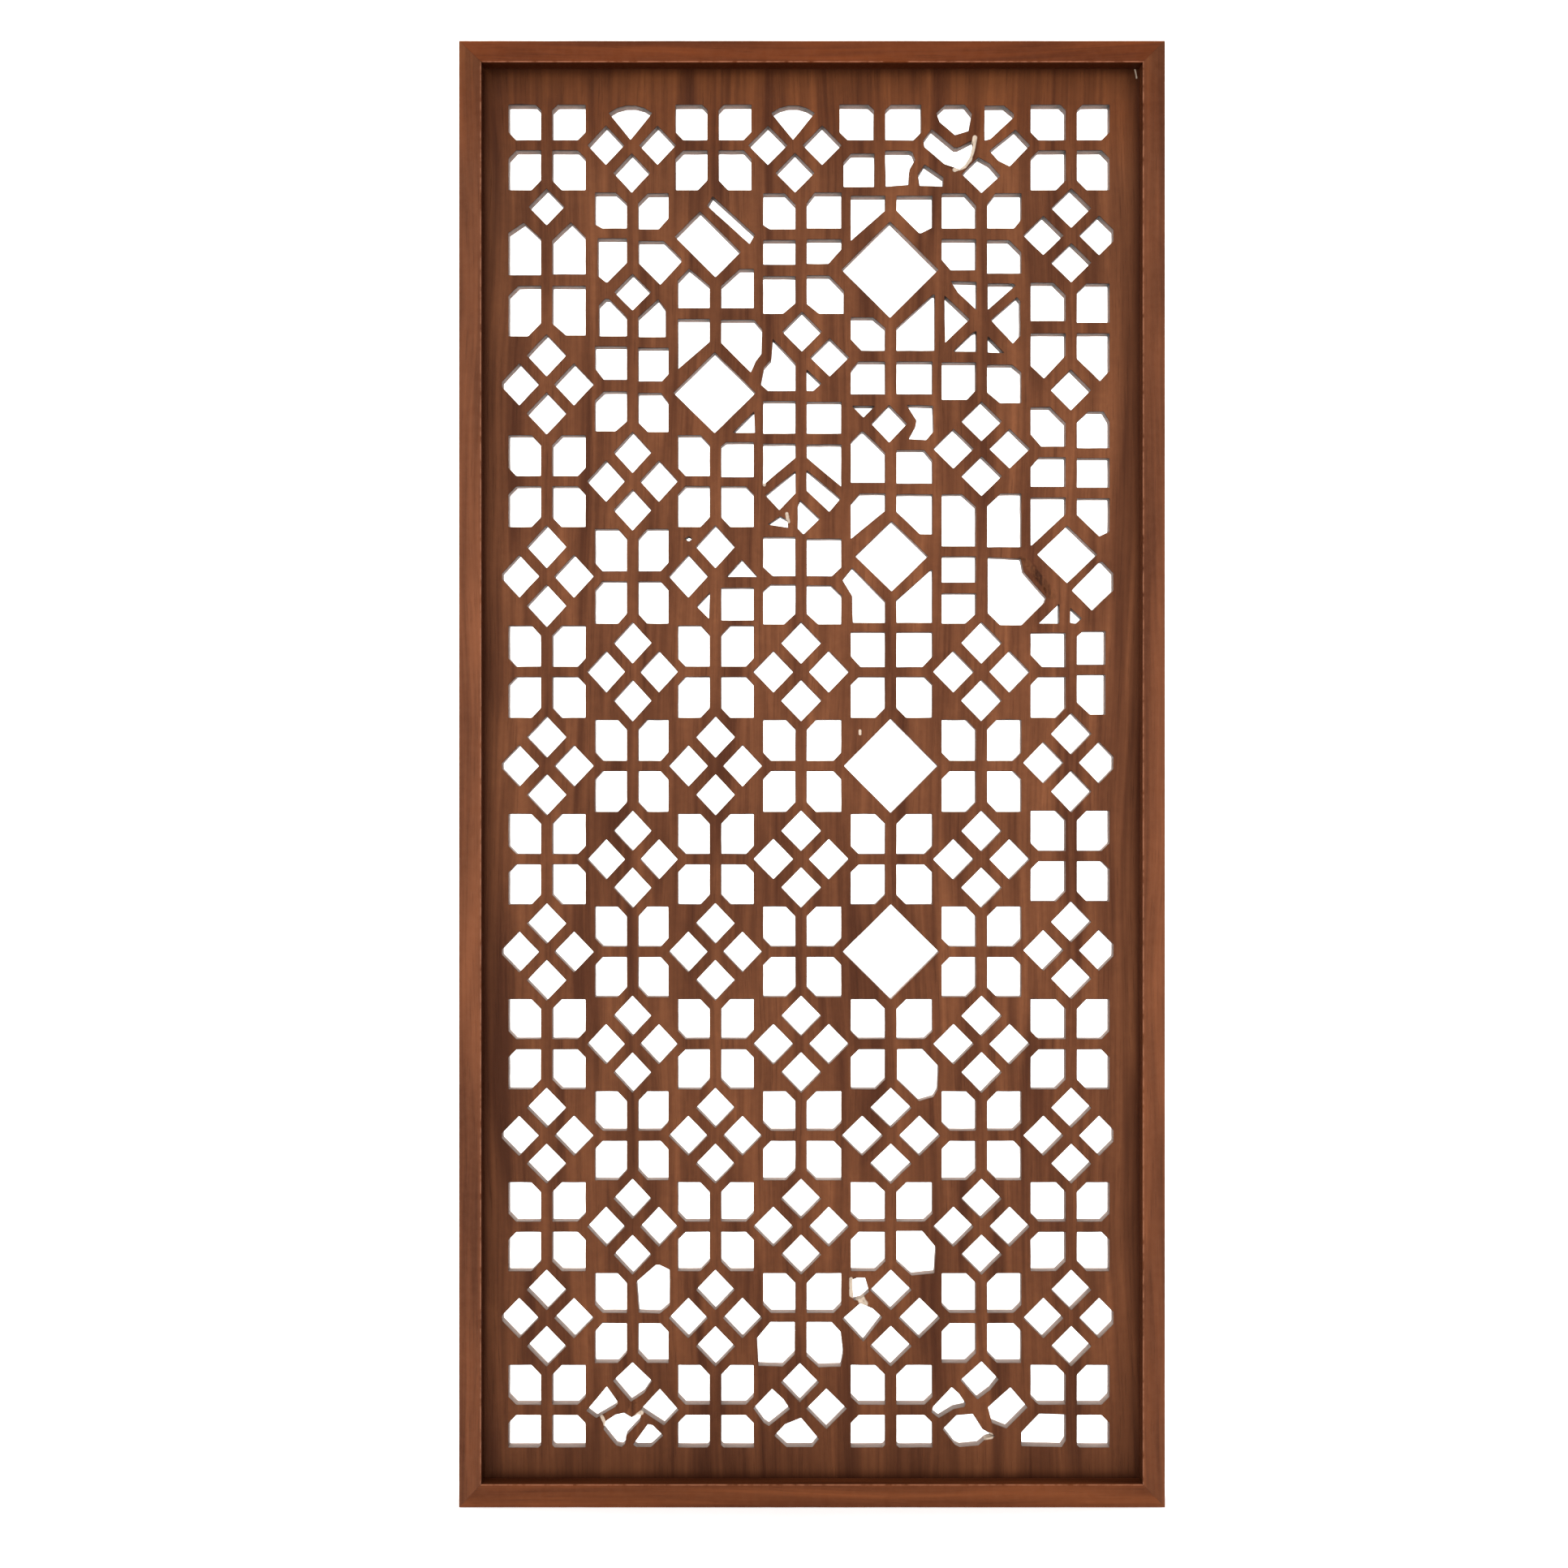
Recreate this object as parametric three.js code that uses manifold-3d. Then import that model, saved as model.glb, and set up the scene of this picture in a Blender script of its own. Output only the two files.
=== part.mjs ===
// A mashrabiya screen: one pierced board held in a groove round the inside of a mitred frame.
// Millimetres, +Z up. The origin is the middle of the frame's underside and the front faces -Y.
import * as THREE from "three";
import { mergeGeometries, mergeVertices } from "three/addons/utils/BufferGeometryUtils.js";
import Module from "manifold-3d";

const wasm = await Module();
wasm.setup();

// The frame
const frameWidth = 871;
const frameHeight = 1808;
const frameDepth = 65;
const stileFace = 27.7;
const topRailFace = 26.7;
const bottomRailFace = 28.8;
const outerArris = 2;
const innerArris = 1.5;
const mitreGap = 0.3;

// The board and its groove
const recessDepth = 33;
const boardThickness = 25;
const grooveDepth = 8;
const boardClearance = 0.3;
const cutOvershoot = 1;

// The plain margins left on the board round the pierced field
const leftMargin = 30.8;
const rightMargin = 37.8;
const footMargin = 38.1;
const headMargin = 45;

// The bars of the lattice
const uprightBar = 14.4;
const crossBar = 13.2;
const diagonalBar = 12.5;
const lozengeBar = 14;
const columnGap = 12;
const rowGap = 3;

// How far a lozenge reaches past its cell, how far its tips may go into the side margins, and how
// much smaller an open one is
const reachAcross = 4.6;
const reachUp = 3;
const tipInLeftMargin = 8;
const tipInRightMargin = 5;
const openLozengeShy = 1.5;

// The setting out, as found: column widths from the left, how far each column's bar is off its middle,
// row heights from the foot, and the height of the lowest line over the frame's underside
const columnWidths = [107.5, 103, 106, 109, 113, 110.5, 109.5];
const barShifts = [-0.5, 1, -0.5, -1.5, -1, 0, 1.5];
const evenRowHeights = [114, 114, 113, 113, 114.5, 115, 115, 117, 117, 120, 116.5];
const lowestLine = 57;
const bandHeight = 302;
const topRowHeight = 114;
const lowestRowHidden = 10.5;
const topRowHidden = 6.8;

// The colours
const frameColour = "#7b4a30";
const boardColour = "#6b4027";
const woodRoughness = 0.6;

const left = -1;
const right = 1;
const sum = (numbers) => numbers.reduce((total, number) => total + number, 0);

// The inside of the frame and the pierced field within the margins
const insideLeft = -frameWidth / 2 + stileFace;
const insideRight = frameWidth / 2 - stileFace;
const insideFoot = bottomRailFace;
const insideHead = frameHeight - topRailFace;
const fieldLeft = insideLeft + leftMargin;
const fieldRight = insideRight - rightMargin;
const fieldFoot = insideFoot + footMargin;
const fieldHead = insideHead - headMargin;

// The setting out is fitted to the field
const laidHeight = sum(evenRowHeights) + bandHeight + topRowHeight;
const acrossScale = (fieldRight - fieldLeft + columnGap) / sum(columnWidths);
const upScale = (fieldHead - fieldFoot + lowestRowHidden + topRowHidden) / laidHeight;

function columnCell(number) {
  const start = fieldLeft - columnGap / 2 + sum(columnWidths.slice(0, number - 1)) * acrossScale;
  const width = columnWidths[number - 1] * acrossScale;
  const line = start + width / 2 + barShifts[number - 1] * acrossScale;
  return { start, width, line };
}

// A height over the frame's underside, as found, taken to the screen's own height
function up(height) {
  return fieldFoot - lowestRowHidden + (height - lowestLine) * upScale;
}

// A place beside a column's middle line
function across(column, offset) {
  return columnCell(column).line + offset * acrossScale;
}

// Flat outlines, as lists of points in the plane of the board

function box(x0, x1, z0, z1) {
  return [[x0, z0], [x1, z0], [x1, z1], [x0, z1]];
}

// The part of a convex outline that lies on the inner side of the line through (x, z)
// whose outward normal is (nx, nz)
function trim(points, x, z, nx, nz) {
  const side = ([px, pz]) => (px - x) * nx + (pz - z) * nz;
  const kept = [];
  points.forEach((point, index) => {
    const next = points[(index + 1) % points.length];
    const here = side(point);
    const there = side(next);
    if (here <= 0) {
      kept.push(point);
    }
    if ((here < 0 && there > 0) || (here > 0 && there < 0)) {
      const share = here / (here - there);
      kept.push([point[0] + (next[0] - point[0]) * share, point[1] + (next[1] - point[1]) * share]);
    }
  });
  return kept;
}

function trimToField(points) {
  const overFoot = trim(points, 0, fieldFoot, 0, -1);
  const underHead = trim(overFoot, 0, fieldHead, 0, 1);
  const rightOfMargin = trim(underHead, fieldLeft - tipInLeftMargin, 0, -1, 0);
  return trim(rightOfMargin, fieldRight + tipInRightMargin, 0, 1, 0);
}

function diamond({ column, offset = 0, middle, halfWidth, halfHeight }) {
  const x = across(column, offset);
  const z = up(middle);
  const reach = halfWidth * acrossScale;
  const rise = halfHeight * upScale;
  return [[x, z - rise], [x + reach, z], [x, z + rise], [x - reach, z]];
}

// One quarter of a cross cell: a box beside the column's upright bar, from foot to head, less its
// corners. A corner is named by foot or head and by whether it is on the bar's side (inner) or away
// from it (outer), and is cut off by so much across and so much up.
function petal({ column, side, foot, head, inset = 0, headInner, headOuter, footInner, footOuter }) {
  const cell = columnCell(column);
  const inner = cell.line + side * uprightBar / 2;
  const edge = side === left ? cell.start + columnGap / 2 : cell.start + cell.width - columnGap / 2;
  const outer = edge - side * inset * acrossScale;
  const low = up(foot);
  const high = up(head);
  const corners = [
    { x: inner, z: low, cut: footInner, away: side, rise: 1 },
    { x: outer, z: low, cut: footOuter, away: -side, rise: 1 },
    { x: outer, z: high, cut: headOuter, away: -side, rise: -1 },
    { x: inner, z: high, cut: headInner, away: side, rise: -1 },
  ];
  let points = corners.map(({ x, z }) => [x, z]);
  if (side === left) {
    points.reverse();
  }
  for (const { x, z, cut, away, rise } of corners) {
    if (cut) {
      const [run, climb] = [cut[0] * acrossScale, cut[1] * upScale];
      points = trim(points, x + away * run, z, -away * climb, -rise * run);
    }
  }
  return points;
}

// An outline cut by hand, from a few corners beside the column's line
function handCut({ column, corners }) {
  return corners.map(([offset, height]) => [across(column, offset), up(height)]);
}

// A box turned to lie down to the right, its ends slanted by the nip
function slantedBox({ column, offset, middle, length, width, nip = 0 }) {
  const slope = Math.SQRT1_2;
  const [l, w] = [length / 2, width / 2];
  const ring = [[-l + nip, -w], [l, -w + nip], [l - nip, w], [-l, w - nip]];
  return ring.map(([along, over]) => [
    across(column, offset + (along + over) * slope),
    up(middle + (over - along) * slope),
  ]);
}

// A quarter of a round, point down
function fan({ column, offset, foot, radius, spread, steps }) {
  const points = [[across(column, offset), up(foot)]];
  for (let step = 0; step <= steps; step += 1) {
    const angle = THREE.MathUtils.degToRad(spread * (1 - 2 * step / steps));
    points.push([across(column, offset + radius * Math.sin(angle)), up(foot + radius * Math.cos(angle))]);
  }
  return points;
}

// The regular cells

// Four petals round a cross of bars, each cut back from the lozenges above, below and beside the cell
function cross({ x, start, z, width, height, skip = [] }) {
  const halfWidth = width / 2 + reachAcross;
  const halfHeight = height / 2 + reachUp;
  const slant = Math.hypot(halfWidth, halfHeight);
  const back = reachAcross + diagonalBar * slant / halfHeight;
  const above = height / 2 - reachUp - diagonalBar * slant / halfWidth;
  const petals = [];
  for (const rise of [1, -1]) {
    for (const side of [left, right]) {
      if (skip.includes(`${rise > 0 ? "head" : "foot"} ${side === left ? "left" : "right"}`)) {
        continue;
      }
      const inner = x + side * uprightBar / 2;
      const edge = side === left ? start : start + width;
      const outer = edge - side * columnGap / 2;
      const near = z + rise * crossBar / 2;
      const far = z + rise * (height - rowGap) / 2;
      const [x0, x1] = [Math.min(inner, outer), Math.max(inner, outer)];
      const [z0, z1] = [Math.min(near, far), Math.max(near, far)];
      let points = box(x0, x1, z0, z1);
      points = trim(points, edge - side * back, z, side * halfHeight, -rise * halfWidth);
      points = trim(points, x, z + rise * above, -side * halfHeight, rise * halfWidth);
      petals.push(trimToField(points));
    }
  }
  return petals;
}

// Four diamonds round an X of bars
function lozenge({ x, z, width, height, skip = [] }) {
  const halfWidth = width / 2 + reachAcross;
  const halfHeight = height / 2 + reachUp;
  const slant = Math.hypot(halfWidth, halfHeight);
  const nearAcross = lozengeBar / 2 * slant / halfHeight;
  const nearUp = lozengeBar / 2 * slant / halfWidth;
  const outAcross = (halfWidth + nearAcross) / 2;
  const outUp = (halfHeight + nearUp) / 2;
  const reach = (halfWidth - nearAcross) / 2;
  const rise = (halfHeight - nearUp) / 2;
  const places = { head: [0, outUp], foot: [0, -outUp], left: [-outAcross, 0], right: [outAcross, 0] };
  return Object.entries(places)
    .filter(([name]) => !skip.includes(name))
    .map(([, [dx, dz]]) => trimToField([
      [x + dx, z + dz - rise],
      [x + dx + reach, z + dz],
      [x + dx, z + dz + rise],
      [x + dx - reach, z + dz],
    ]));
}

// One diamond the size of the cell
function openLozenge({ x, z, width, height, less = 0 }) {
  const reach = width / 2 + reachAcross - openLozengeShy - less;
  const rise = height / 2 + reachUp - openLozengeShy - less;
  return [[[x, z - rise], [x + reach, z], [x, z + rise], [x - reach, z]]];
}

// The even rows, from the lowest up: X is a cross, L a lozenge, O an open lozenge and
// a dot a cell that is cut by hand further on
const evenRows = [
  "X.X.X.X",
  "LXLXLXL",
  "XLXLXLX",
  "LXLXLXL",
  "XLXLXLX",
  "LXLXOXL",
  "XLXLXLX",
  "LXLXOXL",
  "XLXLXLX",
  "LXLX...",
  "XLX....",
];
const motifs = { X: cross, L: lozenge, O: openLozenge };

// Cells of the even rows that sit higher than their row, and how much of an open lozenge is left uncut
const lifts = { "6 7": 2, "7 7": 4, "8 7": 4 };
const uncut = { "8 5": 1.5 };

// Openings of the even rows that are left out because a break or a hand-cut one takes their place, by
// row from the lowest and column from the left
const replaced = {
  "1 7": ["foot left"],
  "2 2": ["head right"],
  "2 4": ["foot left", "foot right"],
  "2 5": ["left"],
  "3 5": ["foot right"],
  "5 5": ["foot right"],
  "9 5": ["head left", "head right"],
  "9 7": ["head left", "head right", "foot right"],
  "10 3": ["right", "foot"],
  "10 4": ["head left", "head right", "foot left", "foot right"],
  "11 3": ["head right"],
};

function evenCells() {
  const openings = [];
  let foot = lowestLine;
  evenRows.forEach((row, rowIndex) => {
    const height = evenRowHeights[rowIndex];
    [...row].forEach((letter, columnIndex) => {
      if (letter === ".") {
        return;
      }
      const { start, line, width } = columnCell(columnIndex + 1);
      const place = `${rowIndex + 1} ${columnIndex + 1}`;
      const cell = {
        x: line,
        start,
        z: up(foot + height / 2 + (lifts[place] ?? 0)),
        width,
        height: height * upScale,
        less: uncut[place],
        skip: replaced[place],
      };
      openings.push(...motifs[letter](cell));
    });
    foot += height;
  });
  return openings;
}

// The top row: crosses and fan-headed lozenges, with a broken cell near the right
function topRow() {
  const middle = lowestLine + laidHeight - topRowHeight / 2;
  const cell = (column, shift, more = {}) => {
    const { start, line, width } = columnCell(column);
    const move = shift * acrossScale;
    return {
      x: line + move, start: start + move, z: up(middle),
      width, height: topRowHeight * upScale, ...more,
    };
  };
  const lessCut = 3;
  const smaller = (whole) => ({ ...whole, width: whole.width - lessCut, height: whole.height - lessCut });
  const fanShape = { foot: 1692, radius: 42.5, spread: 39, steps: 5 };
  return [
    ...cross(cell(1, 0)),
    ...lozenge(smaller(cell(2, -1, { skip: ["head"] }))),
    fan({ column: 2, offset: -2.5, ...fanShape }),
    ...cross(cell(3, -3)),
    ...lozenge(smaller(cell(4, -7.5, { skip: ["head"] }))),
    fan({ column: 4, offset: -10, ...fanShape }),
    ...cross(cell(5, -14, { skip: ["foot left", "foot right"] })),
    ...cross(cell(7, 0)),
    // a small petal, the petal that the curl bites into, and the chink beyond the curl
    handCut({
      column: 5,
      corners: [[-58.5, 1633.5], [-20.5, 1633.5], [-20.5, 1674.5], [-49.5, 1674.5], [-58.5, 1664]],
    }),
    handCut({
      column: 5,
      corners: [[-6, 1634], [22, 1636], [23, 1655], [30, 1667], [27, 1676], [23, 1678], [-7, 1678]],
    }),
    handCut({ column: 5, corners: [[36, 1635], [65, 1634], [65, 1645], [42, 1661], [34, 1648]] }),
    // the broken cell: head, the curved gap under it, and three quarters round the snapped bar
    handCut({
      column: 6,
      corners: [[-56, 1725], [-52, 1714], [-33, 1698], [-16, 1703], [-12, 1724], [-21, 1735], [-45, 1735]],
    }),
    handCut({
      column: 6,
      corners: [
        [-71, 1683], [-46, 1662], [-27, 1656], [-20, 1662], [-14, 1672], [-10, 1688], [-11, 1691],
        [-29, 1682], [-34, 1682], [-62, 1705], [-72, 1691],
      ],
    }),
    handCut({ column: 6, corners: [[4, 1691], [11, 1693], [40, 1720], [40, 1724], [28, 1734], [4, 1734]] }),
    handCut({ column: 6, corners: [[10, 1678], [21, 1666], [35, 1659], [60, 1685], [42, 1704]] }),
    handCut({
      column: 6,
      corners: [[-24, 1649], [0, 1626], [23, 1647], [10, 1662], [-4, 1670], [-16, 1658]],
    }),
  ];
}

// The uneven band under the top row, column by column from the left, each from the head down
function bandColumnOne() {
  const column = 1;
  return [
    diamond({ column, middle: 1608.5, halfWidth: 22, halfHeight: 22.5 }),
    petal({ column, side: left, foot: 1524, head: 1589, headOuter: [19, 13], headInner: [22, 20] }),
    petal({ column, side: right, foot: 1525, head: 1589, headInner: [23, 22], headOuter: [18, 18] }),
    petal({ column, side: left, foot: 1448, head: 1510, headOuter: [12, 12], footInner: [16, 16] }),
    petal({ column, side: right, foot: 1449, head: 1510, footInner: [17, 15] }),
    ...lozenge({
      x: columnCell(column).line, z: up(1388),
      width: columnCell(column).width, height: 118 * upScale,
    }),
  ];
}

function bandColumnTwo() {
  const column = 2;
  return [
    petal({ column, side: left, foot: 1582, head: 1626, headInner: [14, 13], footOuter: [9, 5] }),
    petal({ column, side: right, foot: 1581, head: 1625, headInner: [12, 12], footOuter: [12, 13] }),
    petal({
      column, side: left, foot: 1515, head: 1569,
      inset: 3.5, footOuter: [10, 8], footInner: [24, 24],
    }),
    handCut({
      column,
      corners: [[34.5, 1512], [60.5, 1540], [60.5, 1544], [38.5, 1566], [7.5, 1566], [7.5, 1539]],
    }),
    diamond({ column, middle: 1502.5, halfWidth: 22.5, halfHeight: 22.5 }),
    petal({ column, side: left, foot: 1448, head: 1494, inset: 5, headOuter: [8, 8], headInner: [22, 23] }),
    petal({
      column, side: right, foot: 1447, head: 1493,
      inset: 3.5, headInner: [24, 22], headOuter: [9, 12],
    }),
    petal({ column, side: left, foot: 1394, head: 1435, footOuter: [11, 14] }),
    petal({ column, side: right, foot: 1392, head: 1433, footOuter: [8, 9] }),
    petal({ column, side: left, foot: 1330, head: 1379, headOuter: [11, 11], footInner: [14, 12] }),
    petal({ column, side: right, foot: 1329, head: 1377, headOuter: [9, 12], footInner: [12, 12] }),
  ];
}

function bandColumnThree() {
  const column = 3;
  return [
    slantedBox({ column, offset: 19.5, middle: 1592, length: 74, width: 16, nip: 3.5 }),
    slantedBox({ column, offset: -9.5, middle: 1562, length: 71, width: 44 }),
    petal({ column, side: left, foot: 1483, head: 1532, headOuter: [14, 15], headInner: [26, 22] }),
    petal({ column, side: right, foot: 1483, head: 1531, headInner: [23, 21] }),
    petal({ column, side: left, foot: 1407, head: 1469, footInner: [39.5, 34] }),
    handCut({
      column,
      corners: [[7, 1440], [44, 1403], [50, 1417], [57, 1426], [58, 1456], [48, 1468], [7, 1468]],
    }),
    diamond({ column, offset: -1, middle: 1377.5, halfWidth: 51, halfHeight: 50 }),
    handCut({ column, corners: [[22, 1328], [49, 1328], [48, 1354]] }),
  ];
}

function bandColumnFour() {
  const column = 4;
  return [
    petal({ column, side: left, foot: 1581, head: 1625, headInner: [13, 14], footOuter: [8, 5] }),
    petal({ column, side: right, foot: 1582, head: 1626, headInner: [10, 13] }),
    petal({ column, side: left, foot: 1537, head: 1567 }),
    petal({ column, side: right, foot: 1538, head: 1568, footOuter: [16, 18] }),
    petal({ column, side: left, foot: 1476, head: 1522, footInner: [15, 13] }),
    petal({
      column, side: right, foot: 1476, head: 1523,
      inset: -3, headOuter: [18, 19], footInner: [15, 12],
    }),
    diamond({ column, offset: 1, middle: 1453.5, halfWidth: 24.5, halfHeight: 24.5 }),
    diamond({ column, offset: 35.5, middle: 1421.5, halfWidth: 24, halfHeight: 23.5 }),
    handCut({
      column,
      corners: [[-50, 1388], [-41, 1380], [-7, 1380], [-7, 1414], [-35, 1444], [-37, 1419], [-46, 1409]],
    }),
    handCut({ column, corners: [[7, 1380], [15, 1380], [25, 1389], [7, 1406]] }),
    petal({ column, side: left, foot: 1327, head: 1367 }),
    petal({ column, side: right, foot: 1327, head: 1366 }),
  ];
}

function bandColumnFive() {
  const column = 5;
  return [
    petal({ column, side: left, foot: 1567, head: 1622, footInner: [42, 37] }),
    petal({ column, side: right, foot: 1576, head: 1622, footInner: [28, 28], footOuter: [14, 7] }),
    diamond({ column, offset: -1, middle: 1530.5, halfWidth: 60, halfHeight: 59.5 }),
    petal({ column, side: left, foot: 1430, head: 1471, headInner: [15, 13], footOuter: [13, 14] }),
    petal({ column, side: right, foot: 1430, head: 1499, inset: -3, headInner: [45, 41] }),
    petal({ column, side: left, foot: 1376, head: 1416, headOuter: [9, 11] }),
    petal({ column, side: right, foot: 1376, head: 1416 }),
    handCut({ column, corners: [[-34, 1347], [-20, 1361], [-48, 1361]] }),
    diamond({ column, offset: -2, middle: 1339, halfWidth: 22, halfHeight: 23 }),
    handCut({
      column,
      corners: [[22, 1320], [44, 1319], [53, 1330], [52, 1361], [20, 1362], [32, 1343], [31, 1336]],
    }),
  ];
}

function bandColumnSix() {
  const column = 6;
  return [
    petal({ column, side: left, foot: 1582, head: 1625, headInner: [13, 15] }),
    petal({ column, side: right, foot: 1582, head: 1625, headInner: [10, 13], footOuter: [9, 11] }),
    petal({ column, side: left, foot: 1530, head: 1568, footOuter: [11, 13] }),
    petal({ column, side: right, foot: 1526, head: 1567, headOuter: [15, 15] }),
    // a square of bars filled by an X
    handCut({ column, corners: [[-6.5, 1481], [-6.5, 1515], [-38, 1516], [-29, 1502]] }),
    handCut({ column, corners: [[8, 1481], [42, 1511], [39, 1513], [8, 1513]] }),
    handCut({ column, corners: [[-45, 1440], [-15, 1469], [-46, 1498]] }),
    handCut({ column, corners: [[12, 1468], [39, 1439], [48, 1449], [48, 1491], [44, 1496]] }),
    handCut({ column, corners: [[-35, 1429], [-6.5, 1429], [-6.5, 1454], [-11, 1452]] }),
    handCut({ column, corners: [[8, 1428], [28, 1427], [8, 1447]] }),
    petal({ column, side: left, foot: 1369, head: 1415, footInner: [11, 12] }),
    petal({ column, side: right, foot: 1365, head: 1412, headOuter: [11, 9], footInner: [16, 13] }),
  ];
}

function bandColumnSeven() {
  const column = 7;
  return [
    ...lozenge({
      x: columnCell(column).line, z: up(1573),
      width: columnCell(column).width, height: 110 * upScale,
    }),
    petal({ column, side: left, foot: 1467, head: 1514, headInner: [15, 15] }),
    petal({ column, side: right, foot: 1465, head: 1513, headInner: [12, 11] }),
    petal({ column, side: left, foot: 1395, head: 1451, footOuter: [17, 16], footInner: [27, 29] }),
    petal({ column, side: right, foot: 1392, head: 1451, footInner: [29, 28], footOuter: [12, 13] }),
    diamond({ column, offset: -0.5, middle: 1381, halfWidth: 25, halfHeight: 25 }),
  ];
}

// The uneven cells that run down from the band into the next two rows, at the right

function unevenColumnFour() {
  const column = 4;
  return [
    petal({ column, side: left, foot: 1265, head: 1314, footInner: [38, 32] }),
    petal({ column, side: right, foot: 1261, head: 1313, footInner: [43, 36] }),
    handCut({ column, corners: [[-44, 1250], [-27, 1232], [-7, 1253], [-7, 1280]] }),
    handCut({ column, corners: [[7, 1256], [35, 1230], [49, 1246], [7, 1281]] }),
    handCut({ column, corners: [[-41, 1214], [-16, 1210], [-17, 1219], [-26, 1224]] }),
    handCut({ column, corners: [[-4, 1209], [3, 1202], [23, 1221], [-1, 1244], [-4, 1237]] }),
  ];
}

function unevenColumnFive() {
  const column = 5;
  return [
    petal({ column, side: left, foot: 1266, head: 1329, headOuter: [13, 13], headInner: [27, 26] }),
    petal({ column, side: right, foot: 1265, head: 1306, headOuter: [10, 12] }),
    petal({ column, side: left, foot: 1195, head: 1252, headOuter: [11, 13], footInner: [44, 36] }),
    petal({ column, side: right, foot: 1202, head: 1251, footInner: [29, 28] }),
    diamond({ column, offset: 1, middle: 1174.5, halfWidth: 45, halfHeight: 43.5 }),
    handCut({
      column,
      corners: [[-47, 1092], [-7, 1092], [-7, 1118], [-48, 1160], [-60, 1145], [-48, 1125]],
    }),
    petal({ column, side: right, foot: 1092, head: 1157, headInner: [42, 38] }),
  ];
}

function unevenColumnSix() {
  const column = 6;
  return [
    ...lozenge({
      x: columnCell(column).line, z: up(1308),
      width: columnCell(column).width, height: 111 * upScale,
    }),
    petal({ column, side: left, foot: 1187, head: 1251, headInner: [17, 15] }),
    petal({ column, side: right, foot: 1186, head: 1252, headInner: [16, 15] }),
    petal({ column, side: left, foot: 1142, head: 1174 }),
    petal({ column, side: left, foot: 1091, head: 1128, footInner: [13, 12] }),
    handCut({
      column,
      corners: [[8, 1104], [23, 1089], [50, 1089], [78, 1117], [80, 1123], [52, 1155], [49, 1171], [8, 1173]],
    }),
  ];
}

function unevenColumnSeven() {
  const column = 7;
  return [
    petal({ column, side: left, foot: 1311, head: 1359, headInner: [19, 19], footOuter: [13, 15] }),
    petal({ column, side: right, foot: 1309, head: 1354, headInner: [14, 13], headOuter: [7, 12] }),
    petal({ column, side: left, foot: 1261, head: 1297, headOuter: [10, 12] }),
    petal({ column, side: right, foot: 1260, head: 1296 }),
    petal({ column, side: left, foot: 1188, head: 1247, footInner: [42, 39] }),
    petal({ column, side: right, foot: 1199, head: 1246, footOuter: [13, 6], footInner: [28, 27] }),
    diamond({ column, offset: -5, middle: 1176.5, halfWidth: 37, halfHeight: 35.5 }),
    handCut({ column, corners: [[1, 1132], [26, 1107], [52, 1132], [52, 1153], [39, 1167], [35, 1167]] }),
    handCut({ column, corners: [[-40, 1091], [-15, 1091], [-15, 1115]] }),
    handCut({ column, corners: [[-1, 1092], [6, 1091], [13, 1097], [-1, 1110]] }),
  ];
}

// Single openings that are broken, chipped or cut oddly in the even rows
function brokenOpenings() {
  return [
    // two slips and a square where the third column's lozenge was never finished, and a nick
    handCut({ column: 3, corners: [[14, 1149], [52, 1149], [33, 1170]] }),
    handCut({ column: 3, corners: [[-8, 1097], [-7, 1129], [-23, 1112]] }),
    petal({ column: 3, side: right, foot: 1095, head: 1135 }),
    petal({ column: 3, side: right, foot: 1273, head: 1316, headInner: [6, 5] }),
    // the cross beside them, set a little low, and the next row's crosses with short heads
    petal({ column: 4, side: left, foot: 1150, head: 1198, footOuter: [12, 11] }),
    petal({ column: 4, side: right, foot: 1150, head: 1196, footOuter: [12, 11] }),
    petal({ column: 4, side: left, foot: 1090, head: 1139, headOuter: [9, 8], footInner: [14, 13] }),
    petal({ column: 4, side: right, foot: 1090, head: 1138, headOuter: [13, 13], footInner: [14, 13] }),
    petal({ column: 5, side: left, foot: 1037, head: 1080, footOuter: [12, 13] }),
    petal({ column: 5, side: right, foot: 1037, head: 1080, footOuter: [12, 13] }),
    petal({ column: 7, side: left, foot: 1037, head: 1079, footOuter: [14, 15] }),
    petal({ column: 7, side: right, foot: 1040, head: 1081, inset: 5, headInner: [7, 6] }),
    petal({ column: 7, side: right, foot: 978, head: 1027, inset: 5, footInner: [16, 15] }),
    handCut({ column: 3, corners: [[-33, 1193], [-29, 1196], [-33, 1199], [-38, 1196]] }),
    // petals that broke out at a corner
    handCut({
      column: 5,
      corners: [[8, 524], [35, 498], [53, 503], [58, 512], [59, 541], [39, 562], [8, 562]],
    }),
    handCut({ column: 5, corners: [[7, 298], [26, 281], [54, 284], [56, 316], [39, 336], [7, 336]] }),
    handCut({
      column: 2,
      corners: [[7, 247], [8, 235], [34, 234], [46, 244], [46, 288], [34, 294], [29, 294], [5, 273]],
    }),
    handCut({ column: 4, corners: [[-53, 169], [-23, 168], [-8, 183], [-8, 223], [-38, 223], [-55, 203]] }),
    handCut({
      column: 4,
      corners: [[7, 181], [22, 167], [49, 168], [52, 184], [49, 211], [38, 223], [7, 223]],
    }),
    // a diamond with its head worn off, and the chink above it
    handCut({ column: 5, corners: [[-34, 199], [-11, 229], [-23, 240], [-38, 246], [-60, 227]] }),
    handCut({ column: 5, corners: [[-46, 250], [-37, 252], [-27, 261], [-32, 278], [-42, 278], [-48, 275]] }),
  ];
}

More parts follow.
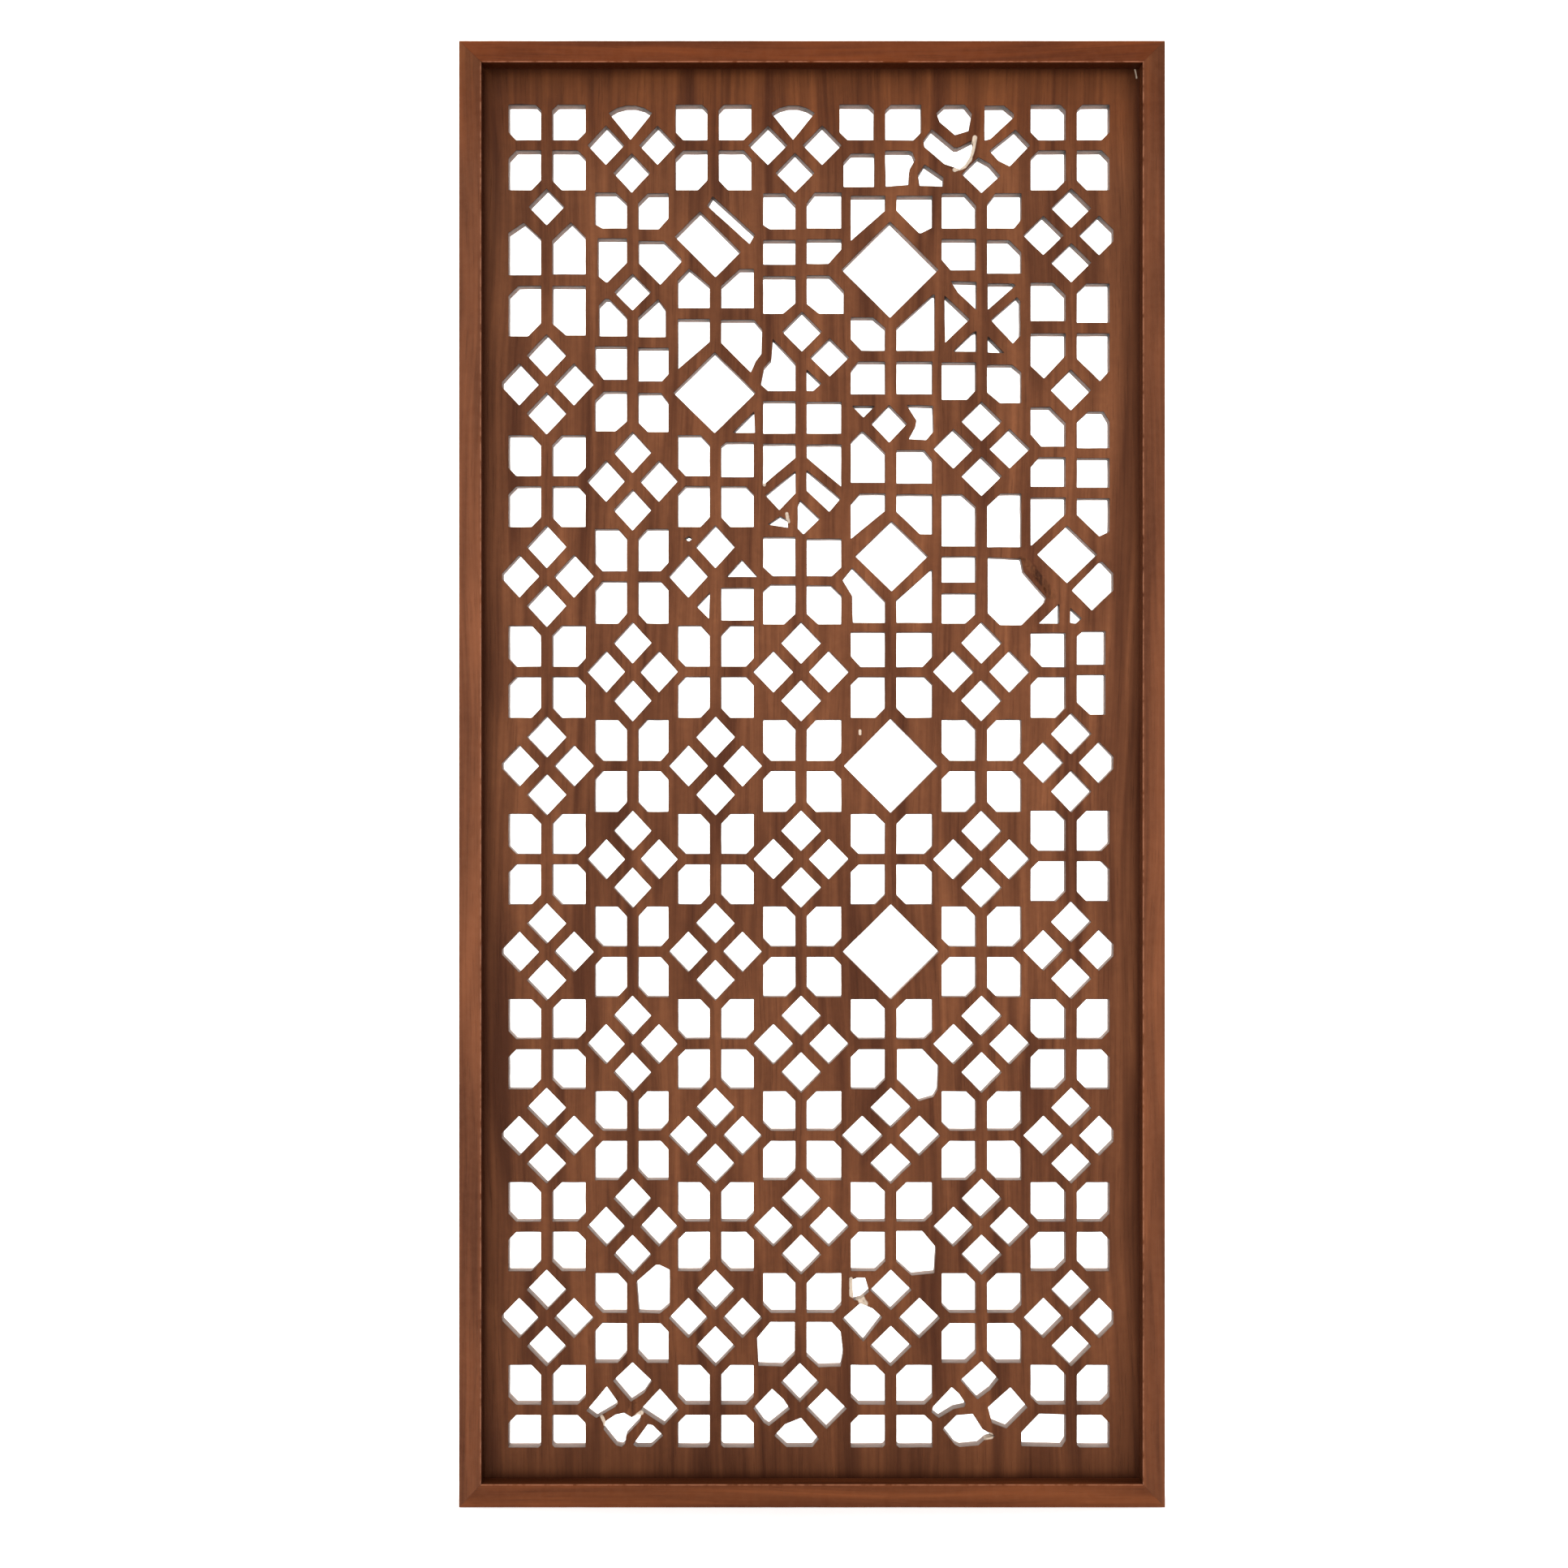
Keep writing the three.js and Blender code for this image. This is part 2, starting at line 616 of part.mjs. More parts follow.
// The lowest row's even columns: lozenges with their middles gone or remade
function lowestRowTwo() {
  const column = 2;
  return [
    handCut({ column, corners: [[-2, 124], [14, 135], [24, 150], [0, 173], [-24, 150]] }),
    handCut({ column, corners: [[-45, 104], [-21, 118], [-19, 124], [-32, 143], [-57, 113]] }),
    handCut({ column, corners: [[39, 95], [57, 114], [34, 140], [10, 114]] }),
    handCut({
      column,
      corners: [
        [-20, 70], [-13, 68], [-9, 72], [-8, 82], [9, 100], [10, 107], [6, 108], [-1, 104], [-11, 110],
        [-21, 108], [-33, 100], [-36, 90],
      ],
    }),
    handCut({ column, corners: [[5, 68], [23, 68], [38, 82], [25, 95], [19, 96], [1, 71]] }),
  ];
}

function lowestRowFour() {
  const column = 4;
  return [
    diamond({ column, offset: -1.5, middle: 148, halfWidth: 23.5, halfHeight: 24 }),
    diamond({ column, offset: 31.5, middle: 115.5, halfWidth: 25, halfHeight: 25 }),
    handCut({ column, corners: [[-46, 98], [-40, 94], [-14, 115], [-22, 127], [-36, 140], [-59, 116]] }),
    handCut({ column, corners: [[-33, 82], [-18, 68], [14, 68], [22, 78], [0, 104], [-20, 96]] }),
  ];
}

function lowestRowSix() {
  const column = 6;
  return [
    handCut({ column, corners: [[-5, 127], [11, 139], [21, 152], [0, 174], [-26, 151]] }),
    handCut({
      column,
      corners: [[-53, 104], [-35, 115], [-21, 118], [-20, 122], [-28, 134], [-37, 142], [-60, 118], [-62, 111]],
    }),
    handCut({ column, corners: [[31, 91], [57, 117], [36, 142], [8, 117], [13, 98]] }),
    handCut({
      column,
      corners: [[-33, 71], [-27, 68], [-4, 70], [5, 78], [17, 81], [1, 90], [-11, 109], [-31, 107], [-48, 90]],
    }),
  ];
}

function lowestRowSeven() {
  return [handCut({
    column: 7,
    corners: [[-62, 69], [-12, 68], [-7, 76], [-7, 108], [-40, 109], [-62, 86]],
  })];
}

function allOpenings() {
  return [
    ...evenCells(),
    ...topRow(),
    ...bandColumnOne(),
    ...bandColumnTwo(),
    ...bandColumnThree(),
    ...bandColumnFour(),
    ...bandColumnFive(),
    ...bandColumnSix(),
    ...bandColumnSeven(),
    ...unevenColumnFour(),
    ...unevenColumnFive(),
    ...unevenColumnSix(),
    ...unevenColumnSeven(),
    ...brokenOpenings(),
    ...lowestRowTwo(),
    ...lowestRowFour(),
    ...lowestRowSix(),
    ...lowestRowSeven(),
  ];
}

// The board, with its edges out of sight in the groove and every opening cut straight through

// A flat outline of the board's plane made solid from one depth behind the frame's front to another
function prism(outline, front, back) {
  const shape = new THREE.Shape(outline.map(([x, z]) => new THREE.Vector2(x, z)));
  const geometry = new THREE.ExtrudeGeometry(shape, { depth: back - front, bevelEnabled: false });
  geometry.rotateX(Math.PI / 2);
  geometry.translate(0, -frameDepth / 2 + back, 0);
  return geometry;
}

function bare(geometry) {
  geometry.deleteAttribute("normal");
  geometry.deleteAttribute("uv");
  return mergeVertices(geometry);
}

function toSolid(geometry) {
  const plain = bare(geometry);
  return new wasm.Manifold(new wasm.Mesh({
    numProp: 3,
    vertProperties: new Float32Array(plain.attributes.position.array),
    triVerts: new Uint32Array(plain.index.array),
  }));
}

function toGeometry(solid) {
  const mesh = solid.getMesh();
  const geometry = new THREE.BufferGeometry();
  geometry.setAttribute("position", new THREE.BufferAttribute(new Float32Array(mesh.vertProperties), 3));
  geometry.setIndex(new THREE.BufferAttribute(new Uint32Array(mesh.triVerts), 1));
  return geometry;
}

function piercedBoard() {
  const hold = grooveDepth - boardClearance;
  const edge = box(insideLeft - hold, insideRight + hold, insideFoot - hold, insideHead + hold);
  const back = recessDepth + boardThickness;
  const board = toSolid(prism(edge, recessDepth, back));
  const cut = (outline) => prism(outline, recessDepth - cutOvershoot, back + cutOvershoot);
  return toGeometry(board.subtract(toSolid(mergeGeometries(allOpenings().map(cut)))));
}

// A frame member's section, as points of how far in from the outer edge and how far back from the front
function memberSection(face) {
  const grooveFloor = face - grooveDepth;
  const grooveFront = recessDepth - boardClearance;
  const grooveBack = recessDepth + boardThickness + boardClearance;
  return [
    [outerArris, 0],
    [face - innerArris, 0],
    [face, innerArris],
    [face, grooveFront],
    [grooveFloor, grooveFront],
    [grooveFloor, grooveBack],
    [face, grooveBack],
    [face, frameDepth - innerArris],
    [face - innerArris, frameDepth],
    [outerArris, frameDepth],
    [0, frameDepth - outerArris],
    [0, outerArris],
  ];
}

// The section run along the member between two mitres. place takes how far in, how far back and how
// far along to a point of the frame.
function mitredMember(face, length, startFace, endFace, place) {
  const section = memberSection(face);
  const relief = (otherFace) => mitreGap / 2 * Math.hypot(1, otherFace / face);
  const start = section.map(([into, back]) => place(into, back, into * startFace / face + relief(startFace)));
  const end = section.map(([into, back]) =>
    place(into, back, length - into * endFace / face - relief(endFace)));
  const count = section.length;
  const flat = section.map(([into, back]) => new THREE.Vector2(into, back));
  const faces = THREE.ShapeUtils.triangulateShape(flat, []);
  const triangles = [];
  for (const [a, b, c] of faces) {
    triangles.push([c, b, a], [a + count, b + count, c + count]);
  }
  for (let index = 0; index < count; index += 1) {
    const next = (index + 1) % count;
    triangles.push([index, next, next + count], [index, next + count, index + count]);
  }
  return solidFrom([...start, ...end], triangles);
}

// A closed geometry from points and triangles, its faces turned outward
function solidFrom(points, triangles) {
  const wedge = ([a, b, c]) => points[a].dot(new THREE.Vector3().crossVectors(points[b], points[c]));
  const volume = sum(triangles.map(wedge));
  const outward = volume > 0 ? triangles : triangles.map(([a, b, c]) => [a, c, b]);
  const geometry = new THREE.BufferGeometry().setFromPoints(points);
  geometry.setIndex(outward.flat());
  geometry.computeVertexNormals();
  return geometry;
}

// Where a point of each member lies: how far in from the frame's outer edge, how far back from its front
// and how far along
const front = -frameDepth / 2;
const leftPlace = (into, back, along) => new THREE.Vector3(-frameWidth / 2 + into, front + back, along);
const rightPlace = (into, back, along) => new THREE.Vector3(frameWidth / 2 - into, front + back, along);
const topPlace = (into, back, along) =>
  new THREE.Vector3(-frameWidth / 2 + along, front + back, frameHeight - into);
const bottomPlace = (into, back, along) => new THREE.Vector3(-frameWidth / 2 + along, front + back, into);

function named(name, geometry, colour) {
  const merged = bare(geometry);
  merged.computeVertexNormals();
  const material = new THREE.MeshStandardMaterial({ color: colour, roughness: woodRoughness, metalness: 0 });
  const mesh = new THREE.Mesh(merged, material);
  mesh.name = name;
  return mesh;
}

const stile = (place) => mitredMember(stileFace, frameHeight, bottomRailFace, topRailFace, place);
const rail = (face, place) => mitredMember(face, frameWidth, stileFace, stileFace, place);

const screen = new THREE.Group();
screen.add(
  named("left_stile", stile(leftPlace), frameColour),
  named("right_stile", stile(rightPlace), frameColour),
  named("top_rail", rail(topRailFace, topPlace), frameColour),
  named("bottom_rail", rail(bottomRailFace, bottomPlace), frameColour),
  named("pierced_panel", piercedBoard(), boardColour),
);

export default screen;
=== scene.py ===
import math
import random

import bmesh
import bpy
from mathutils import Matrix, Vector, kdtree, noise
from mathutils.geometry import delaunay_2d_cdt


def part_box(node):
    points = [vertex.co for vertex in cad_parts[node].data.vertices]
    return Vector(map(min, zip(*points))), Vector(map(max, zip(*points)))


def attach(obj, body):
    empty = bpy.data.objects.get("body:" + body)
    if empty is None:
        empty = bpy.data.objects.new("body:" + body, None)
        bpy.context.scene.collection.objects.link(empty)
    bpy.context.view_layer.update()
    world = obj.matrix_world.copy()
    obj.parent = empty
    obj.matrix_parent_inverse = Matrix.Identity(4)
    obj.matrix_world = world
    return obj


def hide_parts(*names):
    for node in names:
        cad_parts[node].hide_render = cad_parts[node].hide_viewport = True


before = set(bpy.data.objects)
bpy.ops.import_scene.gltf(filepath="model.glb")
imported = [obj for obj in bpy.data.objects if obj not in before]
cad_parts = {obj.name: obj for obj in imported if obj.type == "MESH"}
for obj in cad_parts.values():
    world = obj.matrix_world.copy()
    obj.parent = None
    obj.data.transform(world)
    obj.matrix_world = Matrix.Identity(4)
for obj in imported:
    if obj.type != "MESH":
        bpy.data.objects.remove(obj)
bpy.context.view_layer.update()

bl_info = {
    "name": "Mashrabiya screen",
    "version": (1, 0, 0),
    "blender": (4, 5, 0),
    "location": "View3D > Sidebar > Screen",
    "description": "Builds a pierced wooden screen in its mitred frame, worn and broken as found",
    "category": "Object",
}

MM = 0.001

# How far the painted shades fade out: the painted shade over the board's margin, and the painted shade in an
# opening's head corner
RECESS_SHADE = 13 * MM
CORNER_SHADE = 14 * MM

# How finely the meshes are cut: a frame member, the board's hidden edge and a sawn side
MEMBER_STEP = 10 * MM
BORDER_STEP = 25 * MM
SAWN_STEP = 15 * MM

# The wood beside an opening is looked for at points this far apart, and no farther off than the reach
BESIDE_STEP = 2 * MM
BESIDE_REACH = 8 * MM

# Waves a metre of the frame's planing and of its knocks, along a member and across it
RIPPLE_ALONG, RIPPLE_ACROSS = 9, 40
KNOCK_ALONG, KNOCK_ACROSS = 34, 12

# The darkest colours, all painted shade: in the recess, under an overhang, and in an opening's head corner
RECESS_SHADE_COLOUR = (0.026, 0.0042, 0.0004)
OVERHANG_SHADE_COLOUR = (0.020, 0.006, 0.002)
CORNER_SHADE_COLOUR = (0.010, 0.004, 0.002)

# How the wood's colour drifts from foot to head: the share of the height, and a tint
HEIGHT_TINTS = (
    (0.0, (0.90, 0.87, 0.84)),
    (0.3, (0.96, 0.96, 0.98)),
    (0.6, (1.12, 1.14, 1.2)),
    (0.91, (0.98, 0.98, 0.98)),
    (0.955, (0.92, 0.80, 0.64)),
    (1.0, (0.92, 0.84, 0.62)),
)

# What the frame says of the sizes, in metres
STILE_LOW, STILE_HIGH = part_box("left_stile")
TOP_LOW, TOP_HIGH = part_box("top_rail")
FOOT_LOW, FOOT_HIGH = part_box("bottom_rail")
BOARD_LOW, BOARD_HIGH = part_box("pierced_panel")
FRAME_WIDTH = TOP_HIGH.x - TOP_LOW.x
FRAME_HEIGHT = TOP_HIGH.z
FRAME_FRONT = STILE_LOW.y
FRAME_DEPTH = STILE_HIGH.y - STILE_LOW.y
STILE_FACE = STILE_HIGH.x - STILE_LOW.x
TOP_FACE = TOP_HIGH.z - TOP_LOW.z
FOOT_FACE = FOOT_HIGH.z - FOOT_LOW.z
RECESS = BOARD_LOW.y - FRAME_FRONT
BOARD_THICKNESS = BOARD_HIGH.y - BOARD_LOW.y
BOARD_IN_GROOVE = STILE_HIGH.x - BOARD_LOW.x

# Where the board is torn to pale wood: how far the torn wood reaches, and a path across and up on its face
BREAKS = {
    "edge of the curled gap": (0.0042, (
        (0.203, 1.696), (0.200, 1.680), (0.196, 1.668), (0.190, 1.660), (0.178, 1.656))),
    "fan, sliver": (0.003, ((-0.031, 1.228), (-0.029, 1.218))),
    "fan, corner": (0.003, ((-0.059, 1.268), (-0.059, 1.264))),
    "worn diamond, slope": (0.007, ((0.061, 0.252), (0.065, 0.245))),
    "worn diamond, rim": (0.0035, ((0.049, 0.276), (0.049, 0.256), (0.056, 0.252))),
    "second column, lowest row, left": (0.004, ((-0.268, 0.108), (-0.244, 0.122))),
    "second column, lowest row, gap": (0.003, ((-0.261, 0.105), (-0.253, 0.086))),
    "second column, lowest row, splinter": (0.004, ((-0.226, 0.099), (-0.212, 0.110))),
    "sixth column, lowest row, tip": (0.006, ((0.205, 0.079), (0.222, 0.081))),
    "fifth column, fleck": (0.0025, ((0.060, 0.958), (0.060, 0.954))),
    "head corner, scrape": (0.0014, ((0.402, 1.780), (0.404, 1.770))),
}

# Where it is splintered but not pale
SPLINTERS = {
    "seventh column, crossing": (0.007, ((0.264, 1.170), (0.292, 1.138), (0.299, 1.125))),
    "second column, lowest row, bar": (0.005, ((-0.222, 0.120), (-0.232, 0.098))),
}


def spans(places):
    """Each stretch of the paths: its two ends and how far it reaches."""
    return [(Vector(a), Vector(b), reach) for reach, path in places.values() for a, b in zip(path, path[1:])]


def off_span(spot, start, end):
    """How far a spot is from a stretch."""
    run = end - start
    share = min(1.0, max(0.0, (spot - start).dot(run) / run.length_squared))
    return (spot - start - share * run).length


class BoardSettings(bpy.types.PropertyGroup):
    arris: bpy.props.FloatProperty(
        name="Arris", description="How far the edge of an opening is rounded over",
        default=0.9 * MM, min=0.2 * MM, max=2 * MM, unit="LENGTH")
    back_arris: bpy.props.FloatProperty(
        name="Back arris", description="The same at the back, which is left sharper",
        default=0.5 * MM, min=0.2 * MM, max=2 * MM, unit="LENGTH")
    corner: bpy.props.FloatProperty(
        name="Corner", description="Radius left by the blade in an opening's corners",
        default=0.8 * MM, min=0.3 * MM, max=4 * MM, unit="LENGTH")
    waver: bpy.props.FloatProperty(
        name="Waver", description="How far a sawn edge wanders from straight",
        default=0.28 * MM, min=0, max=1 * MM, unit="LENGTH")
    hollow: bpy.props.FloatProperty(
        name="Hollow", description="How unevenly the face is planed",
        default=0.35 * MM, min=0, max=2 * MM, unit="LENGTH")
    torn_depth: bpy.props.FloatProperty(
        name="Torn depth", description="How deep the wood is torn at a break",
        default=3.2 * MM, min=0, max=8 * MM, unit="LENGTH")
    light_wood: bpy.props.FloatVectorProperty(
        name="Light wood", description="The paler streaks of the board", subtype="COLOR",
        default=(0.192, 0.067, 0.0265), min=0, max=1)
    dark_wood: bpy.props.FloatVectorProperty(
        name="Dark wood", description="The darker streaks of the board", subtype="COLOR",
        default=(0.074, 0.0225, 0.0090), min=0, max=1)
    sawn_wood: bpy.props.FloatVectorProperty(
        name="Sawn wood", description="The greyer wood of the sawn walls", subtype="COLOR",
        default=(0.150, 0.088, 0.062), min=0, max=1)
    # Dust on the ledges together with painted light: the up-facing ledges are paled as if lit from above
    dust_and_light: bpy.props.FloatVectorProperty(
        name="Dust", description="Pale dust lying on the ledges of the openings", subtype="COLOR",
        default=(0.46, 0.36, 0.30), min=0, max=1)
    raw_wood: bpy.props.FloatVectorProperty(
        name="Raw wood", description="Pale wood laid bare at the breaks", subtype="COLOR",
        default=(0.68, 0.55, 0.43), min=0, max=1)


class FrameSettings(bpy.types.PropertyGroup):
    outer_arris: bpy.props.FloatProperty(
        name="Outer arris", description="Rounding of the frame's outer edges",
        default=1.7 * MM, min=0.5 * MM, max=6 * MM, unit="LENGTH")
    inner_arris: bpy.props.FloatProperty(
        name="Inner arris", description="Rounding of the edges round the recess",
        default=1.6 * MM, min=0.5 * MM, max=6 * MM, unit="LENGTH")
    knocks: bpy.props.FloatProperty(
        name="Knocks", description="How deep the knocks in the edges are",
        default=0.8 * MM, min=0, max=3 * MM, unit="LENGTH")
    ripple: bpy.props.FloatProperty(
        name="Ripple", description="How unevenly the faces are planed",
        default=0.25 * MM, min=0, max=1 * MM, unit="LENGTH")
    mitre_gap: bpy.props.FloatProperty(
        name="Mitre gap", description="The open line at each mitre",
        default=0.12 * MM, min=0, max=2 * MM, unit="LENGTH")
    light_wood: bpy.props.FloatVectorProperty(
        name="Light wood", description="The paler streaks of the frame", subtype="COLOR",
        default=(0.190, 0.063, 0.0250), min=0, max=1)
    dark_wood: bpy.props.FloatVectorProperty(
        name="Dark wood", description="The darker streaks of the frame", subtype="COLOR",
        default=(0.080, 0.0245, 0.0098), min=0, max=1)


class StageSettings(bpy.types.PropertyGroup):
    camera_distance: bpy.props.FloatProperty(
        name="Camera distance", description="From the camera to the frame's front face",
        default=3.6, min=1, max=20, unit="LENGTH")
    camera_height: bpy.props.FloatProperty(
        name="Camera height", description="Height of the camera over the floor",
        default=0.8918, min=0, max=3, unit="LENGTH")
    camera_across: bpy.props.FloatProperty(
        name="Camera across", description="How far the camera stands to one side",
        default=-0.0345, min=-2, max=2, unit="LENGTH")
    lens: bpy.props.FloatProperty(
        name="Lens", description="Focal length on a 36 mm sensor", default=67.08, min=10, max=300)
    floor_colour: bpy.props.FloatVectorProperty(
        name="Floor", description="The pale floor and backdrop", subtype="COLOR",
        default=(0.93, 0.93, 0.925), min=0, max=1)
    room_light: bpy.props.FloatProperty(
        name="Room light", description="Strength of the even light all round", default=0.85, min=0, max=5)
    key_light: bpy.props.FloatProperty(
        name="Key light", description="Power of the soft light above the front", default=60, min=0, max=1000)


# Nodes

class Nodes:
    """A node tree that is filled by short calls."""

    def __init__(self, tree):
        self.tree = tree

    def add(self, kind, inputs=None, **settings):
        node = self.tree.nodes.new(kind)
        for name, value in settings.items():
            setattr(node, name, value)
        for name, value in (inputs or {}).items():
            socket = node.inputs[name]
            if isinstance(value, bpy.types.NodeSocket):
                self.tree.links.new(value, socket)
            else:
                socket.default_value = value
        return node

    def math(self, operation, *values, clamp=False):
        node = self.add("ShaderNodeMath", dict(enumerate(values)), operation=operation, use_clamp=clamp)
        return node.outputs[0]

    def vector(self, operation, *values):
        node = self.add("ShaderNodeVectorMath", dict(enumerate(values)), operation=operation)
        return node.outputs["Value" if operation in ("LENGTH", "DISTANCE", "DOT_PRODUCT") else "Vector"]

    def spread(self, value, low, high, to_low=0.0, to_high=1.0):
        node = self.add("ShaderNodeMapRange", {
            "Value": value, "From Min": low, "From Max": high, "To Min": to_low, "To Max": to_high})
        return node.outputs["Result"]

    def noise(self, vector, scale, detail=3.0, roughness=0.5, distortion=0.0):
        node = self.add("ShaderNodeTexNoise", {
            "Vector": vector, "Scale": scale, "Detail": detail, "Roughness": roughness,
            "Distortion": distortion})
        return node.outputs["Fac"]

    def mix(self, share, first, second, blend="MIX"):
        node = self.add("ShaderNodeMix", data_type="RGBA", blend_type=blend)
        for place, value in (("Factor_Float", share), ("A_Color", first), ("B_Color", second)):
            socket = next(s for s in node.inputs if s.identifier == place)
            if isinstance(value, bpy.types.NodeSocket):
                self.tree.links.new(value, socket)
            else:
                socket.default_value = value
        return next(s for s in node.outputs if s.identifier == "Result_Color")

    def toned(self, colour, tone):
        """A colour times a grey."""
        grey = self.add("ShaderNodeCombineColor", {"Red": tone, "Green": tone, "Blue": tone}).outputs[0]
        return self.mix(1.0, colour, grey, "MULTIPLY")

    def painted(self, name):
        """A value that the mesh carries under a name."""
        return self.add("ShaderNodeAttribute", attribute_name=name).outputs["Fac"]


def new_group(name, inputs, outputs):
    """An empty shader group with named sockets; inputs are (name, kind, default)."""
    tree = bpy.data.node_groups.new(name, "ShaderNodeTree")
    for socket_name, kind, default in inputs:
        socket = tree.interface.new_socket(socket_name, in_out="INPUT", socket_type=kind)
        if default is not None:
            socket.default_value = default
    for socket_name, kind in outputs:
        tree.interface.new_socket(socket_name, in_out="OUTPUT", socket_type=kind)
    nodes = Nodes(tree)
    return nodes, nodes.add("NodeGroupInput"), nodes.add("NodeGroupOutput")


FLOAT, COLOUR, VECTOR = "NodeSocketFloat", "NodeSocketColor", "NodeSocketVector"


def grain_group():
    """Wood grain that runs along Z of the vector: a figure for the colour, dark pores and a height."""
    nodes, inside, out = new_group(
        "grain",
        [("Vector", VECTOR, None), ("Bands", FLOAT, 34.0), ("Streaks", FLOAT, 150.0), ("Drift", FLOAT, 0.35)],
        [("Figure", FLOAT), ("Streak", FLOAT), ("Pores", FLOAT), ("Height", FLOAT)])
    vector = inside.outputs["Vector"]
    drift = nodes.noise(nodes.vector("MULTIPLY", vector, (3.0, 3.0, 1.1)), 1.0, 2.0)
    moved = nodes.add("ShaderNodeCombineXYZ", {"X": nodes.math(
        "MULTIPLY", nodes.math("SUBTRACT", drift, 0.5), nodes.math("MULTIPLY", inside.outputs["Drift"], 0.2))})
    drifted = nodes.vector("ADD", vector, moved.outputs[0])
    along_bands = nodes.vector("MULTIPLY", drifted, (1.0, 1.0, 0.085))
    along_streaks = nodes.vector("MULTIPLY", drifted, (1.0, 1.0, 0.022))
    along_pores = nodes.vector("MULTIPLY", drifted, (1.0, 1.0, 0.035))
    bands = nodes.noise(along_bands, inside.outputs["Bands"], 2.0, 0.5, 0.5)
    streaks = nodes.noise(along_streaks, inside.outputs["Streaks"], 4.0, 0.6)
    fibres = nodes.noise(along_pores, 620.0, 2.0, 0.5)
    figure = nodes.spread(nodes.math(
        "ADD", nodes.math("MULTIPLY", bands, 0.72), nodes.math("MULTIPLY", streaks, 0.28)), 0.355, 0.645)
    pores = nodes.spread(fibres, 0.60, 0.74)
    height = nodes.math("SUBTRACT", nodes.math("MULTIPLY", streaks, 0.5), nodes.math("MULTIPLY", pores, 0.5))
    for name, value in (("Figure", figure), ("Streak", nodes.spread(streaks, 0.3, 0.7)), ("Pores", pores),
                        ("Height", height)):
        nodes.tree.links.new(value, out.inputs[name])
    return nodes.tree


def edge_wear_and_shading_group():
    """Worn edges and painted edge shading: a mask where the mesh says an arris is, broken up by a noise."""
    nodes, inside, out = new_group(
        "rubbed edges",
        [("Vector", VECTOR, None), ("Amount", FLOAT, 0.5), ("Size", FLOAT, 90.0)],
        [("Mask", FLOAT)])
    arris = nodes.painted("arris")
    patches = nodes.noise(inside.outputs["Vector"], inside.outputs["Size"], 4.0, 0.6)
    broken = nodes.spread(patches, 0.35, 0.62)
    nodes.tree.links.new(
        nodes.math("MULTIPLY", nodes.math("MULTIPLY", arris, broken), inside.outputs["Amount"], clamp=True),
        out.inputs["Mask"])
    return nodes.tree


def handling_group():
    """Old grime and polish: slow dark patches and a fine mottle."""
    nodes, inside, out = new_group(
        "grime", [("Vector", VECTOR, None), ("Size", FLOAT, 7.0)], [("Patches", FLOAT), ("Mottle", FLOAT)])
    patches = nodes.noise(inside.outputs["Vector"], inside.outputs["Size"], 4.0, 0.6)
    mottle = nodes.noise(inside.outputs["Vector"], 240.0, 3.0, 0.6)
    nodes.tree.links.new(nodes.spread(patches, 0.35, 0.68), out.inputs["Patches"])
    nodes.tree.links.new(nodes.spread(mottle, 0.3, 0.7), out.inputs["Mottle"])
    return nodes.tree


def torn_group(name, places):
    """Where the wood is torn along the given paths, ragged along the grain."""
    nodes, inside, out = new_group(name, [("Vector", VECTOR, None)], [("Mask", FLOAT)])
    vector = inside.outputs["Vector"]
    ragged = nodes.noise(nodes.vector("MULTIPLY", vector, (1.0, 1.0, 0.25)), 420.0, 3.0, 0.6)
    flat = nodes.vector("MULTIPLY", vector, (1.0, 0.0, 1.0))
    total = 0.0
    for start, end, reach in spans(places):
        run = end - start
        origin = (start.x, 0.0, start.y)
        away = nodes.vector("SUBTRACT", flat, origin)
        share = nodes.math("MULTIPLY", nodes.vector("DOT_PRODUCT", away, (run.x, 0.0, run.y)),
                           1 / run.length_squared, clamp=True)
        along = nodes.add("ShaderNodeCombineXYZ", {
            "X": nodes.math("MULTIPLY", share, run.x), "Z": nodes.math("MULTIPLY", share, run.y)}).outputs[0]
        distance = nodes.vector("DISTANCE", away, along)
        total = nodes.math("MAXIMUM", total, nodes.spread(distance, 0.35 * reach, reach, 1.0, 0.0))
    torn = nodes.spread(nodes.math("ADD", nodes.math("MULTIPLY", total, 0.75), nodes.math(
        "MULTIPLY", ragged, 0.5)), 0.52, 0.78)
    nodes.tree.links.new(nodes.math("MULTIPLY", torn, nodes.spread(total, 0.0, 0.2)), out.inputs["Mask"])
    return nodes.tree


def place_group(nodes, tree, inputs):
    """Places a shader group, with its inputs set or linked."""
    node = nodes.add("ShaderNodeGroup", node_tree=tree)
    for name, value in inputs.items():
        if isinstance(value, bpy.types.NodeSocket):
            nodes.tree.links.new(value, node.inputs[name])
        else:
            node.inputs[name].default_value = value
    return node


def group(name, build):
    """The shader group of that name, built if it isn't there yet."""
    return bpy.data.node_groups.get(name) or build()


def opaque(colour):
    """A colour with full alpha."""
    return (*colour, 1.0)


def scaled(colour, tone):
    """A colour times a tone, channel by channel."""
    return Vector([value * share for value, share in zip(colour, tone)])


def painted_recess_shade(nodes, apart):
    """Painted shade at the board's edge against the frame, fading out over the margin."""
    inside_x = FRAME_WIDTH / 2 - STILE_FACE
    aside = nodes.math("SUBTRACT", inside_x, nodes.math("ABSOLUTE", apart["X"]))
    over = nodes.math("SUBTRACT", apart["Z"], FOOT_FACE)
    under = nodes.math("SUBTRACT", FRAME_HEIGHT - TOP_FACE, apart["Z"])
    nearest = nodes.math("MINIMUM", aside, nodes.math("MINIMUM", over, under))
    return nodes.spread(nearest, 0.0, RECESS_SHADE, 1.0, 0.0)


